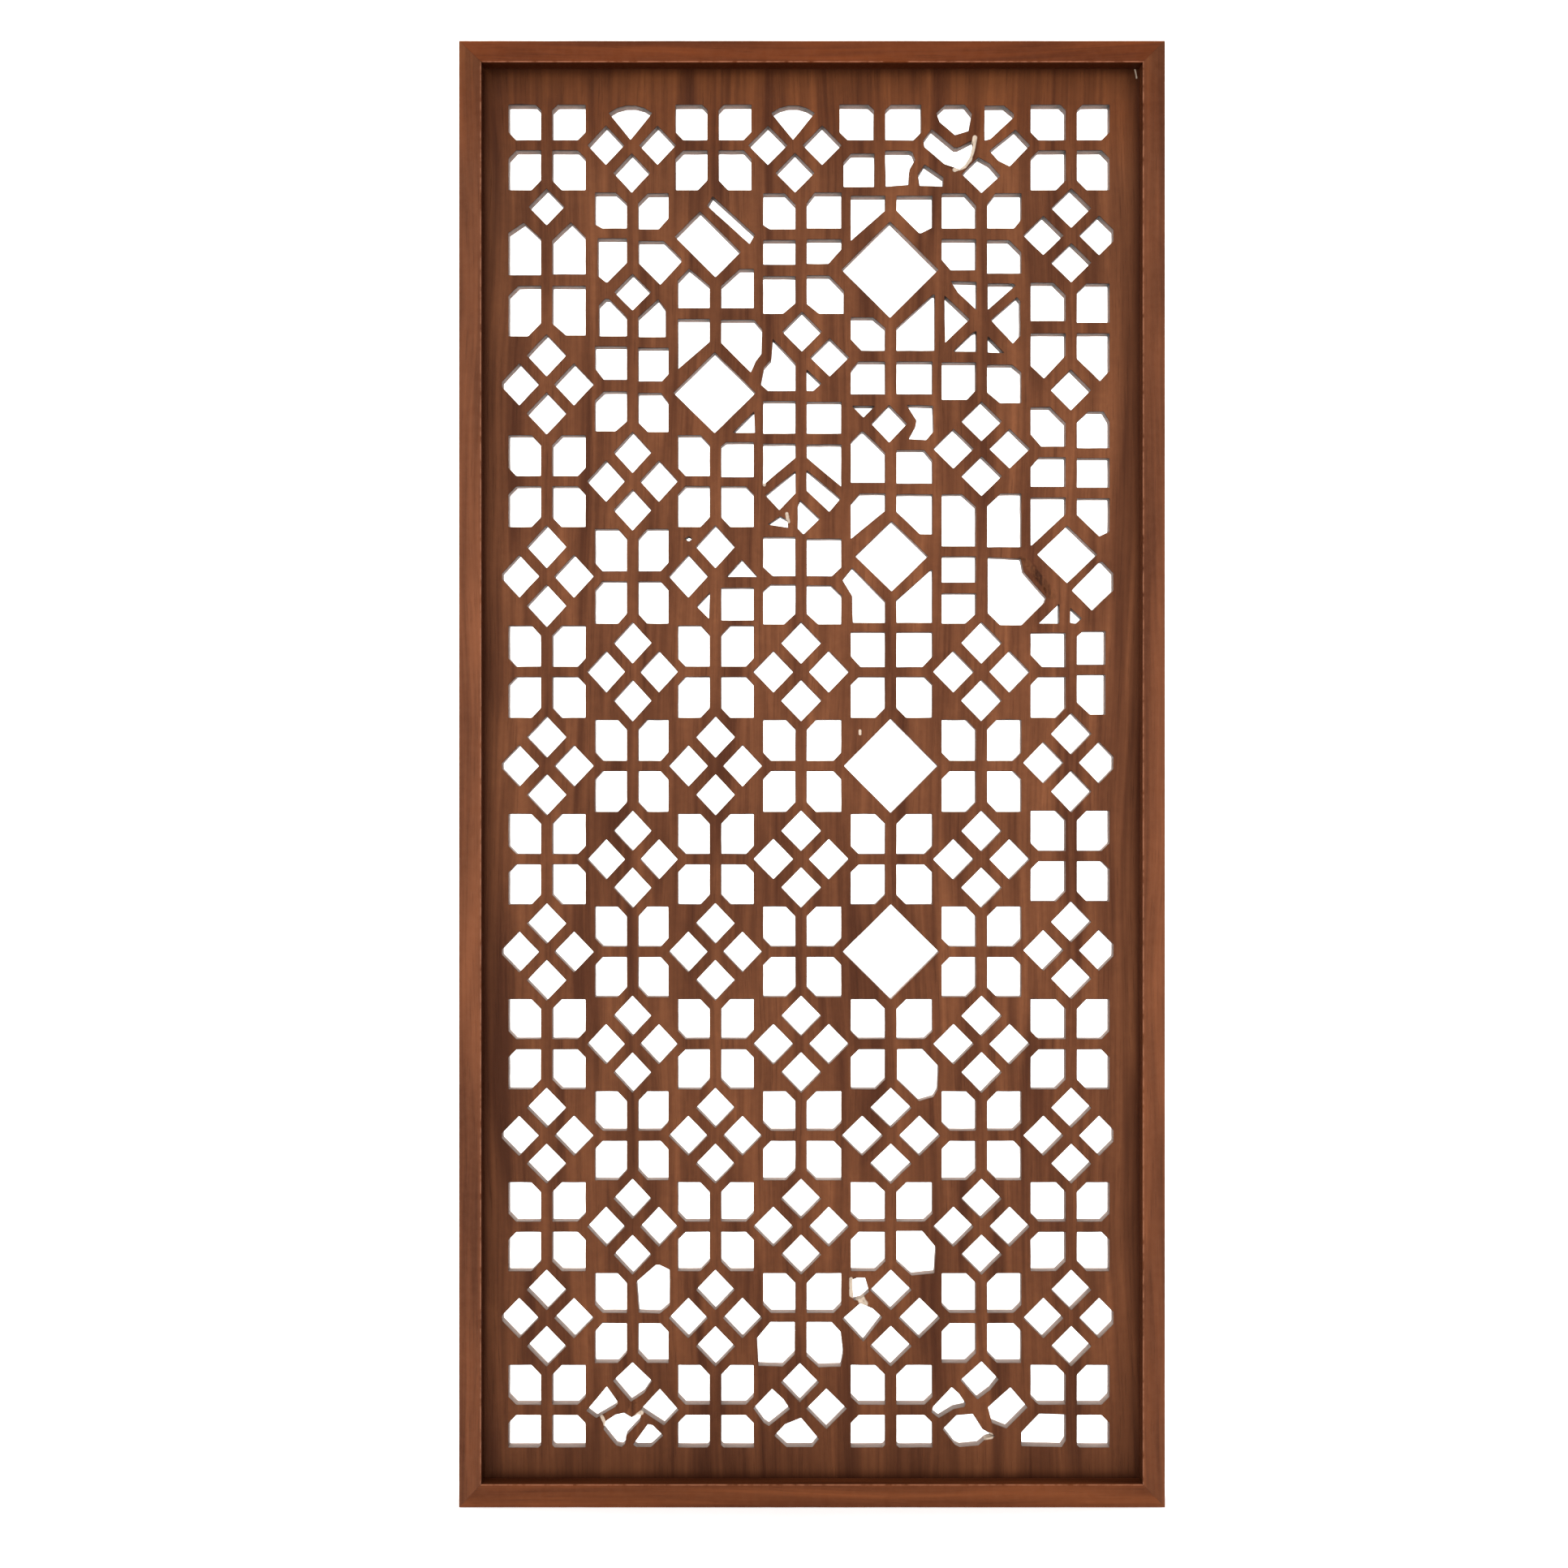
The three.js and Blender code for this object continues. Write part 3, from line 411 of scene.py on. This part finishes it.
def height_tint(nodes, height):
    """The tint that the wood has at a height over the floor."""
    node = nodes.add("ShaderNodeValToRGB", {"Fac": nodes.spread(height, 0.0, FRAME_HEIGHT)})
    ramp = node.color_ramp.elements
    for stop, (position, tint) in zip((ramp[0], ramp[1]), (HEIGHT_TINTS[0], HEIGHT_TINTS[-1])):
        stop.position = position
        stop.color = opaque(tint)
    for position, tint in HEIGHT_TINTS[1:-1]:
        ramp.new(position).color = opaque(tint)
    return node.outputs["Color"]


def sawn_and_torn(nodes, place, apart, grain, grime, light, dark, colour, roughness, height):
    """What only the board has: sawn walls, painted shade under the bars, ledges paled by a dust colour and
    painted light, painted shade in the heads, splinters and torn wood.
    """
    settings = bpy.context.scene.screen_board
    sawn = nodes.painted("sawn")
    facing = nodes.add("ShaderNodeNewGeometry").outputs["Normal"]
    upward = nodes.add("ShaderNodeSeparateXYZ", {"Vector": facing}).outputs["Z"]
    colour = nodes.mix(nodes.math("MULTIPLY", sawn, 0.85), colour, opaque(settings.sawn_wood))
    # Painted shade on the sawn walls that face down, under the bars
    overhang = nodes.math("MULTIPLY", nodes.spread(upward, -0.15, -0.55), nodes.spread(sawn, 0.75, 0.3))
    colour = nodes.mix(nodes.math("MULTIPLY", overhang, 0.7), colour, opaque(OVERHANG_SHADE_COLOUR))
    # Up-facing sawn ledges go pale: dust, and painted light from above
    ledge = nodes.math("MULTIPLY", nodes.spread(upward, 0.25, 0.7), sawn)
    dust_and_light_share = nodes.math("MULTIPLY", ledge, nodes.spread(grime["Patches"], 0.0, 1.0, 0.4, 0.2))
    colour = nodes.mix(dust_and_light_share, colour, opaque(settings.dust_and_light))

    not_through = nodes.spread(
        apart["Y"], BOARD_LOW.y + 0.6 * BOARD_THICKNESS, BOARD_LOW.y + 0.9 * BOARD_THICKNESS, 1.0, 0.0)
    torn_wood = place_group(nodes, torn_group("torn wood", BREAKS), {"Vector": place}).outputs["Mask"]
    torn = nodes.math("MULTIPLY", not_through, torn_wood)
    splinters = place_group(nodes, torn_group("splinters", SPLINTERS), {"Vector": place}).outputs["Mask"]
    fibres = nodes.mix(grain["Streak"], opaque(0.5 * Vector(dark)), opaque(light))
    colour = nodes.mix(splinters, colour, fibres)
    # Painted shade in the head corners and along the heads of the openings
    colour = nodes.mix(nodes.math("POWER", nodes.painted("head_shade"), 1.6), colour, opaque(CORNER_SHADE_COLOUR))
    raw = nodes.mix(grain["Streak"], opaque(0.7 * Vector(settings.raw_wood)), opaque(settings.raw_wood))
    colour = nodes.mix(torn, colour, raw)
    roughness = nodes.math("MULTIPLY_ADD", torn, 0.3, roughness, clamp=True)
    marks = nodes.noise(nodes.vector("MULTIPLY", place, (0.3, 1.0, 0.3)), 900.0, 2.0)
    height = nodes.math("MULTIPLY_ADD", nodes.math("MULTIPLY", marks, sawn), 0.6, height)
    return colour, roughness, height


def wood_material(name, light, dark, level=False, board=False, recess_shade_strength=0.8):
    """Oiled brown wood. level turns its grain to run across; board adds sawn walls, painted shade and torn
    places;
    recess_shade_strength is how dark the painted shade of the recess is."""
    material = bpy.data.materials.new(name)
    material.use_nodes = True
    nodes = Nodes(material.node_tree)
    shader = material.node_tree.nodes["Principled BSDF"]
    place = nodes.add("ShaderNodeTexCoord").outputs["Object"]
    offset = tuple(random.uniform(-3, 3) for _ in range(3))
    apart = nodes.add("ShaderNodeSeparateXYZ", {"Vector": place}).outputs
    turned = place
    if level:
        turned = nodes.add("ShaderNodeCombineXYZ", {
            "X": apart["Z"], "Y": apart["Y"], "Z": apart["X"]}).outputs[0]
    shifted = nodes.vector("ADD", turned, offset)
    grain = place_group(nodes, group("grain", grain_group), {"Vector": shifted}).outputs
    grime = place_group(nodes, group("grime", handling_group), {"Vector": shifted}).outputs
    edge_wear_and_shading = place_group(nodes, group("rubbed edges", edge_wear_and_shading_group), {
        "Vector": place, "Amount": 0.55 if board else 0.6}).outputs["Mask"]

    colour = nodes.mix(grain["Figure"], opaque(dark), opaque(light))
    colour = nodes.mix(nodes.math("MULTIPLY", grain["Pores"], 0.32), colour, opaque(0.4 * Vector(dark)))
    colour = nodes.mix(1.0, colour, height_tint(nodes, apart["Z"]), "MULTIPLY")
    colour = nodes.toned(colour, nodes.math("MULTIPLY_ADD", grain["Streak"], 0.14, 0.93))
    colour = nodes.mix(nodes.math("MULTIPLY", grime["Patches"], 0.28), colour, opaque(0.6 * Vector(dark)))
    # Along the arrises: a painted highlight on the frame and painted shade round the board's openings, each with
    # wear as well
    edge_shading_colour = 0.6 * Vector(dark) if board else Vector(light) * 1.4 + Vector((0.07, 0.055, 0.045))
    colour = nodes.mix(nodes.math("MULTIPLY", edge_wear_and_shading, 0.75), colour, opaque(edge_shading_colour))
    roughness = nodes.math("MULTIPLY_ADD", grime["Mottle"], 0.12, 0.5)
    height = grain["Height"]
    # Painted shade in the recess: on the board it fades out from the frame, on a member it lies on the faces
    # towards the board
    if board:
        recess = nodes.math("POWER", painted_recess_shade(nodes, apart), 1.5)
        colour = nodes.toned(colour, nodes.spread(apart["X"], -FRAME_WIDTH / 2, FRAME_WIDTH / 2, 0.93, 1.09))
    else:
        recess = nodes.painted("recess")
    colour = nodes.mix(nodes.math("MULTIPLY", recess, recess_shade_strength), colour, opaque(RECESS_SHADE_COLOUR))
    if board:
        colour, roughness, height = sawn_and_torn(
            nodes, place, apart, grain, grime, light, dark, colour, roughness, height)
    bump = nodes.add("ShaderNodeBump", {"Height": height, "Distance": 0.0006, "Strength": 0.55})
    for socket, value in (("Base Color", colour), ("Roughness", roughness), ("Normal", bump.outputs["Normal"])):
        material.node_tree.links.new(value, shader.inputs[socket])
    shader.inputs["Specular IOR Level"].default_value = 0.08
    return material


# The frame's members

def rounded(corner, start, end, radius, steps=3):
    """Points of a quarter round that takes a square corner off, from start's side to end's side."""
    points = []
    for step in range(steps + 1):
        angle = math.pi / 2 * step / steps
        along = 1 - math.sin(angle)
        over = 1 - math.cos(angle)
        points.append((corner[0] + radius * (start[0] * along + end[0] * over),
                       corner[1] + radius * (start[1] * along + end[1] * over)))
    return points


def member_section(face, settings):
    """Points of how far in and how far back, with how scuffed the arris is and how much painted highlight it
    carries there.
    """
    groove_floor = face - BOARD_IN_GROOVE
    into, out, back, forth = (1, 0), (-1, 0), (0, 1), (0, -1)
    outer, inner = settings.outer_arris, settings.inner_arris
    near = RECESS - settings.mitre_gap
    far = RECESS + BOARD_THICKNESS + settings.mitre_gap

    def arris(corner, start, end, radius, rubbed_and_shaded, beside):
        points = rounded(corner, start, end, radius)
        last = len(points) - 1
        return [(x, y, rubbed_and_shaded if 0 < i < last else beside) for i, (x, y) in enumerate(points)]

    return [
        # The inner front arris carries a strong painted highlight line, the outer one a faint one
        *arris((0, 0), back, into, outer, 0.35, 0.1),
        *arris((face, 0), out, back, inner, 2.6, 0.1),
        (face, 3 * inner, 0.0),
        (face, near, 0.0),
        (groove_floor, near, 0.0),
        (groove_floor, far, 0.0),
        (face, far, 0.0),
        *arris((face, FRAME_DEPTH), forth, out, inner, 1.0, 0.3),
        *arris((0, FRAME_DEPTH), into, forth, outer, 1.0, 0.3),
    ]


def build_member(name, face, length, start_face, end_face, place, material, settings):
    """One mitred member, swept between its two mitres with a little hand-planed unevenness."""
    ring = member_section(face, settings)
    stations = max(2, round(length / MEMBER_STEP))
    seed = Vector((len(name) * 3.7, ord(name[0]) * 1.3, 0))
    gap, inner = settings.mitre_gap, settings.inner_arris
    start_gap = gap / 2 * math.hypot(1, start_face / face)
    end_gap = gap / 2 * math.hypot(1, end_face / face)
    mesh = bmesh.new()
    arris_layer = mesh.verts.layers.float.new("arris")
    recess_shade_layer = mesh.verts.layers.float.new("recess")
    rows = []
    for station in range(stations + 1):
        share = station / stations
        row = []
        for into, back, arris in ring:
            start = into * start_face / face + start_gap
            end = length - into * end_face / face - end_gap
            along = start + (end - start) * share
            pull_in = pull_back = 0.0
            in_groove = abs(back - RECESS - BOARD_THICKNESS / 2) <= BOARD_THICKNESS / 2 + gap * 2
            if not in_groove:
                wave = Vector((along * RIPPLE_ALONG, into * RIPPLE_ACROSS, back * RIPPLE_ACROSS)) + seed
                uneven = abs(settings.ripple * noise.noise(wave))
                blow = Vector((along * KNOCK_ALONG, into * KNOCK_ACROSS, back * KNOCK_ACROSS)) + seed
                knock = max(0.0, noise.noise(blow) - 0.28)
                depth = min(1.0, arris) * settings.knocks * knock * 2.2
                sunk = 0.2 * uneven if into > 0 else 0.0
                pull_in = math.copysign(depth + 0.5 * uneven, face / 2 - into)
                pull_back = math.copysign(depth + uneven, FRAME_DEPTH / 2 - back) + sunk
            vertex = mesh.verts.new(place(into + pull_in, back + pull_back, along))
            vertex[arris_layer] = arris
            # The faces towards the board carry the painted shade of the recess
            vertex[recess_shade_layer] = float(into > face - inner / 2 and back > inner)
            row.append(vertex)
        rows.append(row)
    for low, high in zip(rows, rows[1:]):
        join(mesh, low, high)
    caps = [mesh.faces.new(rows[0][::-1]), mesh.faces.new(rows[-1])]
    bmesh.ops.triangulate(mesh, faces=caps)
    return finish_piece(mesh, name, material)


def finish_piece(mesh, name, material):
    """Turns a bmesh into a piece that stands for its node, with sharp edges kept and flat faces flat."""
    bmesh.ops.recalc_face_normals(mesh, faces=mesh.faces)
    data = bpy.data.meshes.new(name + "_piece")
    mesh.to_mesh(data)
    mesh.free()
    data.shade_smooth()
    data.set_sharp_from_angle(angle=math.radians(40))
    data.materials.append(material)
    piece = bpy.data.objects.new(name + "_piece", data)
    bpy.context.scene.collection.objects.link(piece)
    normals = piece.modifiers.new("flat faces", "WEIGHTED_NORMAL")
    normals.keep_sharp = True
    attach(piece, "root")
    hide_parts(name)
    return piece


class SCREEN_OT_frame_members(bpy.types.Operator):
    """Builds the four mitred members of the frame"""
    bl_idname = "screen.frame_members"
    bl_label = "Frame members"

    def execute(self, context):
        settings = context.scene.screen_frame
        half = FRAME_WIDTH / 2
        top, front = FRAME_HEIGHT, FRAME_FRONT
        random.seed(11)
        # Name, face, length, faces met at the start and the end, level, place, tone and how dark the painted
        # shade on its recess side is
        members = (
            ("left_stile", STILE_FACE, FRAME_HEIGHT, FOOT_FACE, TOP_FACE, False,
             lambda into, back, along: (-half + into, front + back, along), (0.98, 0.98, 1.0), 0.85),
            ("right_stile", STILE_FACE, FRAME_HEIGHT, FOOT_FACE, TOP_FACE, False,
             lambda into, back, along: (half - into, front + back, along), (1.08, 1.06, 1.04), 0.5),
            ("top_rail", TOP_FACE, FRAME_WIDTH, STILE_FACE, STILE_FACE, True,
             lambda into, back, along: (-half + along, front + back, top - into), (0.91, 0.70, 0.50), 0.92),
            ("bottom_rail", FOOT_FACE, FRAME_WIDTH, STILE_FACE, STILE_FACE, True,
             lambda into, back, along: (-half + along, front + back, into), (1.08, 0.94, 0.76), 0.5),
        )
        for name, face, length, start_face, end_face, level, place, tone, recess_shade_strength in members:
            light = scaled(settings.light_wood, tone)
            dark = scaled(settings.dark_wood, tone)
            material = wood_material(name + "_wood", light, dark, level, recess_shade_strength=recess_shade_strength)
            build_member(name, face, length, start_face, end_face, place, material, settings)
        return {"FINISHED"}


# The pierced board

def front_loops(node):
    """The outlines on the front face of a node's mesh: its edge first, then its openings."""
    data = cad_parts[node].data
    spots = {}
    corner = []
    for vertex in data.vertices:
        key = tuple(round(value * 1e5) for value in vertex.co)
        corner.append(spots.setdefault(key, len(spots)))
    places = [(x * 1e-5, y * 1e-5, z * 1e-5) for x, y, z in spots]
    front = min(y for _, y, _ in places)
    edges = set()
    for face in data.polygons:
        ring = [corner[index] for index in face.vertices]
        if all(abs(places[index][1] - front) < 1e-5 for index in ring):
            edges.update(zip(ring, ring[1:] + ring[:1]))
    after = {a: b for a, b in edges if (b, a) not in edges}
    loops = []
    while after:
        start, spot = after.popitem()
        loop = [start]
        while spot != start:
            loop.append(spot)
            spot = after.pop(spot)
        loops.append([Vector((places[index][0], places[index][2])) for index in loop])
    loops.sort(key=lambda loop: -abs(area(loop)))
    return [loop if area(loop) > 0 else loop[::-1] for loop in loops]


def area(loop):
    """An outline's area, positive where it runs anticlockwise."""
    return sum(a.x * b.y - b.x * a.y for a, b in zip(loop, loop[1:] + loop[:1])) / 2


def sawn_outline(loop, corner, step, waver):
    """An opening's outline with its corners eased and its sides cut into short, slightly uneven steps."""
    sides = []
    count = len(loop)
    for index, here in enumerate(loop):
        before, after = loop[index - 1], loop[(index + 1) % count]
        back, forth = before - here, after - here
        if (back.normalized() + forth.normalized()).length < 0.05:
            continue
        ease = min(corner, 0.35 * back.length, 0.35 * forth.length)
        sides.append((here, here + back.normalized() * ease, here + forth.normalized() * ease))
    points = []
    for index, (here, start, end) in enumerate(sides):
        middle = (start + end) / 4 + here / 2
        points += [start, middle, end]
        stop = sides[(index + 1) % len(sides)][1]
        gap = (stop - end).length
        pieces = max(1, round(gap / step))
        points += [end.lerp(stop, k / pieces) for k in range(1, pieces)]
    out = outward(points)
    return [point + normal * waver * noise.noise(Vector((point.x * 70, point.y * 70, 3)))
            for point, normal in zip(points, out)]


def outward(points):
    """For each point of an outline that runs anticlockwise, the direction out of it."""
    result = []
    for index, here in enumerate(points):
        run = points[(index + 1) % len(points)] - points[index - 1]
        result.append(Vector((run.y, -run.x)).normalized())
    return result


def inside_any(x, z, loops, boxes):
    """Whether a spot is inside one of the outlines, each with the box round it."""
    for loop, (x0, x1, z0, z1) in zip(loops, boxes):
        if x0 < x < x1 and z0 < z < z1:
            odd = False
            for a, b in zip(loop, loop[1:] + loop[:1]):
                if (a.y > z) != (b.y > z) and x < a.x + (z - a.y) / (b.y - a.y) * (b.x - a.x):
                    odd = not odd
            if odd:
                return True
    return False


def face_sheet(rings, extra):
    """Triangles between the first ring, the board's edge, and the others, the openings, over extra points."""
    points = [point for ring in rings for point in ring] + extra
    faces, first = [], 0
    for ring in rings:
        faces.append(list(range(first, first + len(ring))))
        first += len(ring)
    verts, _, triangles, sources, _, parents = delaunay_2d_cdt(points, [], faces, 0, 1e-7)
    if len(verts) != len(points):
        crossings = [tuple(vert) for vert, of in zip(verts, sources) if not of]
        raise RuntimeError(f"outlines cross at {crossings}")
    return [tri for tri, of in zip(triangles, parents) if list(of) == [0]]


def torn_pull(spot, depth):
    """How far the face is torn back at a spot, streaked along the grain."""
    pull = 0.0
    for start, end, reach in spans(BREAKS) + spans(SPLINTERS):
        near = 1 - off_span(spot, start, end) / (1.3 * reach)
        if near > 0:
            streak = 0.55 + 0.9 * noise.noise(Vector((spot.x * 900, spot.y * 160, 7)))
            pull = max(pull, min(depth, reach) * min(1.0, 1.6 * near) * max(0.0, streak))
    return pull


class SCREEN_OT_pierced_board(bpy.types.Operator):
    """Builds the pierced board from the outlines of its openings"""
    bl_idname = "screen.pierced_board"
    bl_label = "Pierced board"

    def execute(self, context):
        settings = context.scene.screen_board
        random.seed(5)
        loops = front_loops("pierced_panel")
        border, openings = loops[0], loops[1:]
        edge = []
        for a, b in zip(border, border[1:] + border[:1]):
            pieces = round((b - a).length / BORDER_STEP)
            edge += [a.lerp(b, k / pieces) for k in range(pieces)]
        outlines = [sawn_outline(loop, settings.corner, SAWN_STEP, settings.waver) for loop in openings]

        # How much wood there is beside each point, so that no two arrises meet
        spots = []
        for number, outline in enumerate(outlines):
            for a, b in zip(outline, outline[1:] + outline[:1]):
                pieces = math.ceil((b - a).length / BESIDE_STEP)
                spots += [(a.lerp(b, k / pieces), number) for k in range(pieces)]
        tree = kdtree.KDTree(len(spots))
        for index, (spot, _) in enumerate(spots):
            tree.insert((spot.x, spot.y, 0), index)
        tree.balance()

        def wood_beside(point, number):
            found = tree.find_range((point.x, point.y, 0), BESIDE_REACH)
            others = [distance for _, index, distance in found if spots[index][1] != number]
            return min(others, default=BESIDE_REACH)

        front, back = BOARD_LOW.y, BOARD_HIGH.y
        mesh = bmesh.new()
        arris_layer = mesh.verts.layers.float.new("arris")
        sawn_layer = mesh.verts.layers.float.new("sawn")
        head_shade_layer = mesh.verts.layers.float.new("head_shade")

        def put(point, y, arris=0.0, sawn=0.0, head_shade=0.0):
            vertex = mesh.verts.new((point.x, y, point.y))
            vertex[arris_layer] = arris
            vertex[sawn_layer] = sawn
            vertex[head_shade_layer] = head_shade
            return vertex

        def face_level(point):
            uneven = settings.hollow * (0.5 + 0.5 * noise.noise(Vector((point.x * 14, point.y * 5, 1))))
            return front + uneven + torn_pull(point, settings.torn_depth)

        front_rings, back_rings, front_verts, back_verts = [edge], [edge], [], []
        front_verts.append([put(point, front) for point in edge])
        back_verts.append([put(point, back) for point in edge])
        join(mesh, front_verts[0], back_verts[0])
        for number, outline in enumerate(outlines):
            out = outward(outline)
            rows = [[] for _ in range(7)]
            front_ring, back_ring = [], []
            # Painted shade in the highest corner of each opening, stronger higher up and further right
            peak = max(outline, key=lambda point: point.y + 0.35 * point.x)
            darkness = min(1.0, max(0.0, peak.y / 0.9 - 0.6)) * (0.85 + 0.15 * peak.x / BOARD_HIGH.x)
            for point, normal in zip(outline, out):
                head_shade = darkness * max(0.0, 1 - (point - peak).length / CORNER_SHADE)
                # Along the head of the opening the painted shade follows how far the wall faces down
                shade = max(head_shade, 0.9 * normal.y)
                room = 0.3 * wood_beside(point, number)
                wander = noise.noise(Vector((point.x * 160, point.y * 160, 9)))
                chip = max(0.0, noise.noise(Vector((point.x * 90, point.y * 90, 21))) - 0.35) * 4 * MM
                round_over = min(room, settings.arris * (1 + 0.35 * wander) + chip)
                behind = min(room, settings.back_arris * (1 + 0.3 * wander))
                level = face_level(point)
                front_ring.append(point + normal * round_over)
                back_ring.append(point + normal * behind)
                deep = max(level + round_over, front + 0.1 * MM)
                rows[0].append(put(front_ring[-1], level, 0.35))
                rows[1].append(put(point + normal * round_over * 0.3, level + round_over * 0.3, 1.0, 0.3, shade))
                rows[2].append(put(point, deep, 0.5, 0.8, shade))
                middle = (deep + back) / 2
                rows[3].append(put(point + normal * 0.25 * MM * wander, middle, 0.0, 1.0, head_shade))
                rows[4].append(put(point, back - behind, 0.0, 1.0, 0.5 * head_shade))
                rows[5].append(put(point + normal * behind * 0.3, back - behind * 0.3, 0.6, 0.4))
                rows[6].append(put(back_ring[-1], back, 0.2))
            for shallow, deeper in zip(rows, rows[1:]):
                join(mesh, shallow, deeper)
            front_rings.append(front_ring)
            back_rings.append(back_ring)
            front_verts.append(rows[0])
            back_verts.append(rows[6])

        boxes = [(min(p.x for p in ring), max(p.x for p in ring), min(p.y for p in ring), max(p.y for p in ring))
                 for ring in front_rings[1:]]
        extra = []
        for start, end, reach in spans(BREAKS) + spans(SPLINTERS):
            for _ in range(80):
                x, z = start.lerp(end, random.random())
                x += random.uniform(-1.4, 1.4) * reach
                z += random.uniform(-1.4, 1.4) * reach
                clear = tree.find((x, z, 0))[2] > 1.7 * MM
                apart = all((Vector((x, z)) - other).length > 1.1 * MM for other in extra)
                if clear and apart and not inside_any(x, z, front_rings[1:], boxes):
                    extra.append(Vector((x, z)))
        extra_verts = [put(point, face_level(point)) for point in extra]
        flat_front = [vertex for row in front_verts for vertex in row] + extra_verts
        for triangle in face_sheet(front_rings, extra):
            mesh.faces.new([flat_front[index] for index in triangle])
        flat_back = [vertex for row in back_verts for vertex in row]
        for triangle in face_sheet(back_rings, []):
            mesh.faces.new([flat_back[index] for index in triangle[::-1]])

        material = wood_material("board_wood", settings.light_wood, settings.dark_wood, board=True)
        finish_piece(mesh, "pierced_panel", material)
        return {"FINISHED"}


def join(mesh, first, second):
    """A band of faces between two rings of the same count."""
    count = len(first)
    for index in range(count):
        after = (index + 1) % count
        mesh.faces.new((first[index], first[after], second[after], second[index]))


# The stage

def stage_material(name, colour):
    """Matt pale paper that glows a little, which keeps the backdrop white."""
    material = bpy.data.materials.new(name)
    material.use_nodes = True
    nodes = Nodes(material.node_tree)
    shader = material.node_tree.nodes["Principled BSDF"]
    place = nodes.add("ShaderNodeTexCoord").outputs["Object"]
    cloud = nodes.spread(nodes.noise(place, 0.8, 2.0), 0.3, 0.7)
    tint = nodes.mix(cloud, opaque(0.985 * Vector(colour)), opaque(colour))
    material.node_tree.links.new(tint, shader.inputs["Base Color"])
    shader.inputs["Roughness"].default_value = 0.9
    shader.inputs["Specular IOR Level"].default_value = 0.1
    shader.inputs["Emission Color"].default_value = opaque(colour)
    shader.inputs["Emission Strength"].default_value = 0.35
    return material


class SCREEN_OT_stage(bpy.types.Operator):
    """Builds the pale floor with its curved backdrop, the soft lights and the camera"""
    bl_idname = "screen.stage"
    bl_label = "Stage"

    def execute(self, context):
        settings = context.scene.screen_stage
        # The paper's half width, its front and rear ends, the sweep's radius and the top, in metres
        half, front, rear, sweep, high = 9.0, -8.0, 5.0, 1.5, 7.0
        profile = [(front, 0.0), (rear - sweep, 0.0)]
        steps = 12
        for step in range(1, steps + 1):
            angle = math.pi / 2 * step / steps
            profile.append((rear - sweep + sweep * math.sin(angle), sweep - sweep * math.cos(angle)))
        profile.append((rear, high))
        mesh = bmesh.new()
        rows = [[mesh.verts.new((x, y, z)) for x in (-half, half)] for y, z in profile]
        for low, up in zip(rows, rows[1:]):
            mesh.faces.new((low[0], low[1], up[1], up[0]))
        data = bpy.data.meshes.new("floor")
        mesh.to_mesh(data)
        mesh.free()
        data.shade_smooth()
        data.materials.append(stage_material("floor_paper", settings.floor_colour))
        floor = bpy.data.objects.new("floor", data)
        context.scene.collection.objects.link(floor)

        world = bpy.data.worlds.new("room")
        context.scene.world = world
        world.use_nodes = True
        background = world.node_tree.nodes["Background"]
        background.inputs["Color"].default_value = (1.0, 1.0, 1.0, 1.0)
        background.inputs["Strength"].default_value = settings.room_light

        # Name, place, target, size and share of the key light's power
        lights = (
            ("key", (-0.9, -3.2, 3.6), (0, 0, 0.9), 2.4, 1.0),
            ("fill", (2.6, -3.4, 1.8), (0, 0, 0.9), 2.4, 0.3),
            ("over", (-0.6, 1.0, 3.8), (0, 0.0, 0.6), 1.8, 1.2),
            ("backdrop_left", (-3.0, 1.2, 4.2), (0, 5.0, 1.0), 2.5, 2.6),
            ("backdrop_right", (3.0, 1.2, 4.2), (0, 5.0, 1.0), 2.5, 2.6),
        )
        for name, place, target, size, share in lights:
            self.soft_light(context, name, place, target, size, share * settings.key_light)

        data = bpy.data.cameras.new("camera")
        data.lens = settings.lens
        data.sensor_width = 36
        data.clip_end = 60
        camera = bpy.data.objects.new("camera", data)
        away = FRAME_FRONT - settings.camera_distance
        camera.location = (settings.camera_across, away, settings.camera_height)
        camera.rotation_euler = (math.pi / 2, 0, 0)
        context.scene.collection.objects.link(camera)
        context.scene.camera = camera
        context.scene.view_settings.view_transform = "Standard"
        return {"FINISHED"}

    def soft_light(self, context, name, place, target, size, power):
        """A square area light that faces its target."""
        data = bpy.data.lights.new(name, "AREA")
        data.shape = "SQUARE"
        data.size = size
        data.energy = power
        light = bpy.data.objects.new(name, data)
        light.location = place
        light.rotation_euler = (Vector(target) - Vector(place)).to_track_quat("-Z", "Y").to_euler()
        context.scene.collection.objects.link(light)


class SCREEN_PT_sidebar(bpy.types.Panel):
    """The screen's sizes, colours and steps"""
    bl_label = "Mashrabiya screen"
    bl_space_type = "VIEW_3D"
    bl_region_type = "UI"
    bl_category = "Screen"

    def draw(self, context):
        scene = context.scene
        for settings, operator in ((scene.screen_frame, "screen.frame_members"),
                                   (scene.screen_board, "screen.pierced_board"),
                                   (scene.screen_stage, "screen.stage")):
            column = self.layout.column()
            for name in settings.__annotations__:
                column.prop(settings, name)
            column.operator(operator)


CLASSES = (BoardSettings, FrameSettings, StageSettings, SCREEN_OT_frame_members, SCREEN_OT_pierced_board,
           SCREEN_OT_stage, SCREEN_PT_sidebar)
SETTINGS = {"screen_board": BoardSettings, "screen_frame": FrameSettings, "screen_stage": StageSettings}


def register():
    for part in CLASSES:
        bpy.utils.register_class(part)
    for name, kind in SETTINGS.items():
        setattr(bpy.types.Scene, name, bpy.props.PointerProperty(type=kind))


def unregister():
    for name in SETTINGS:
        delattr(bpy.types.Scene, name)
    for part in reversed(CLASSES):
        bpy.utils.unregister_class(part)


def main():
    register()
    bpy.ops.screen.frame_members()
    bpy.ops.screen.pierced_board()
    bpy.ops.screen.stage()


if __name__ == "__main__":
    main()
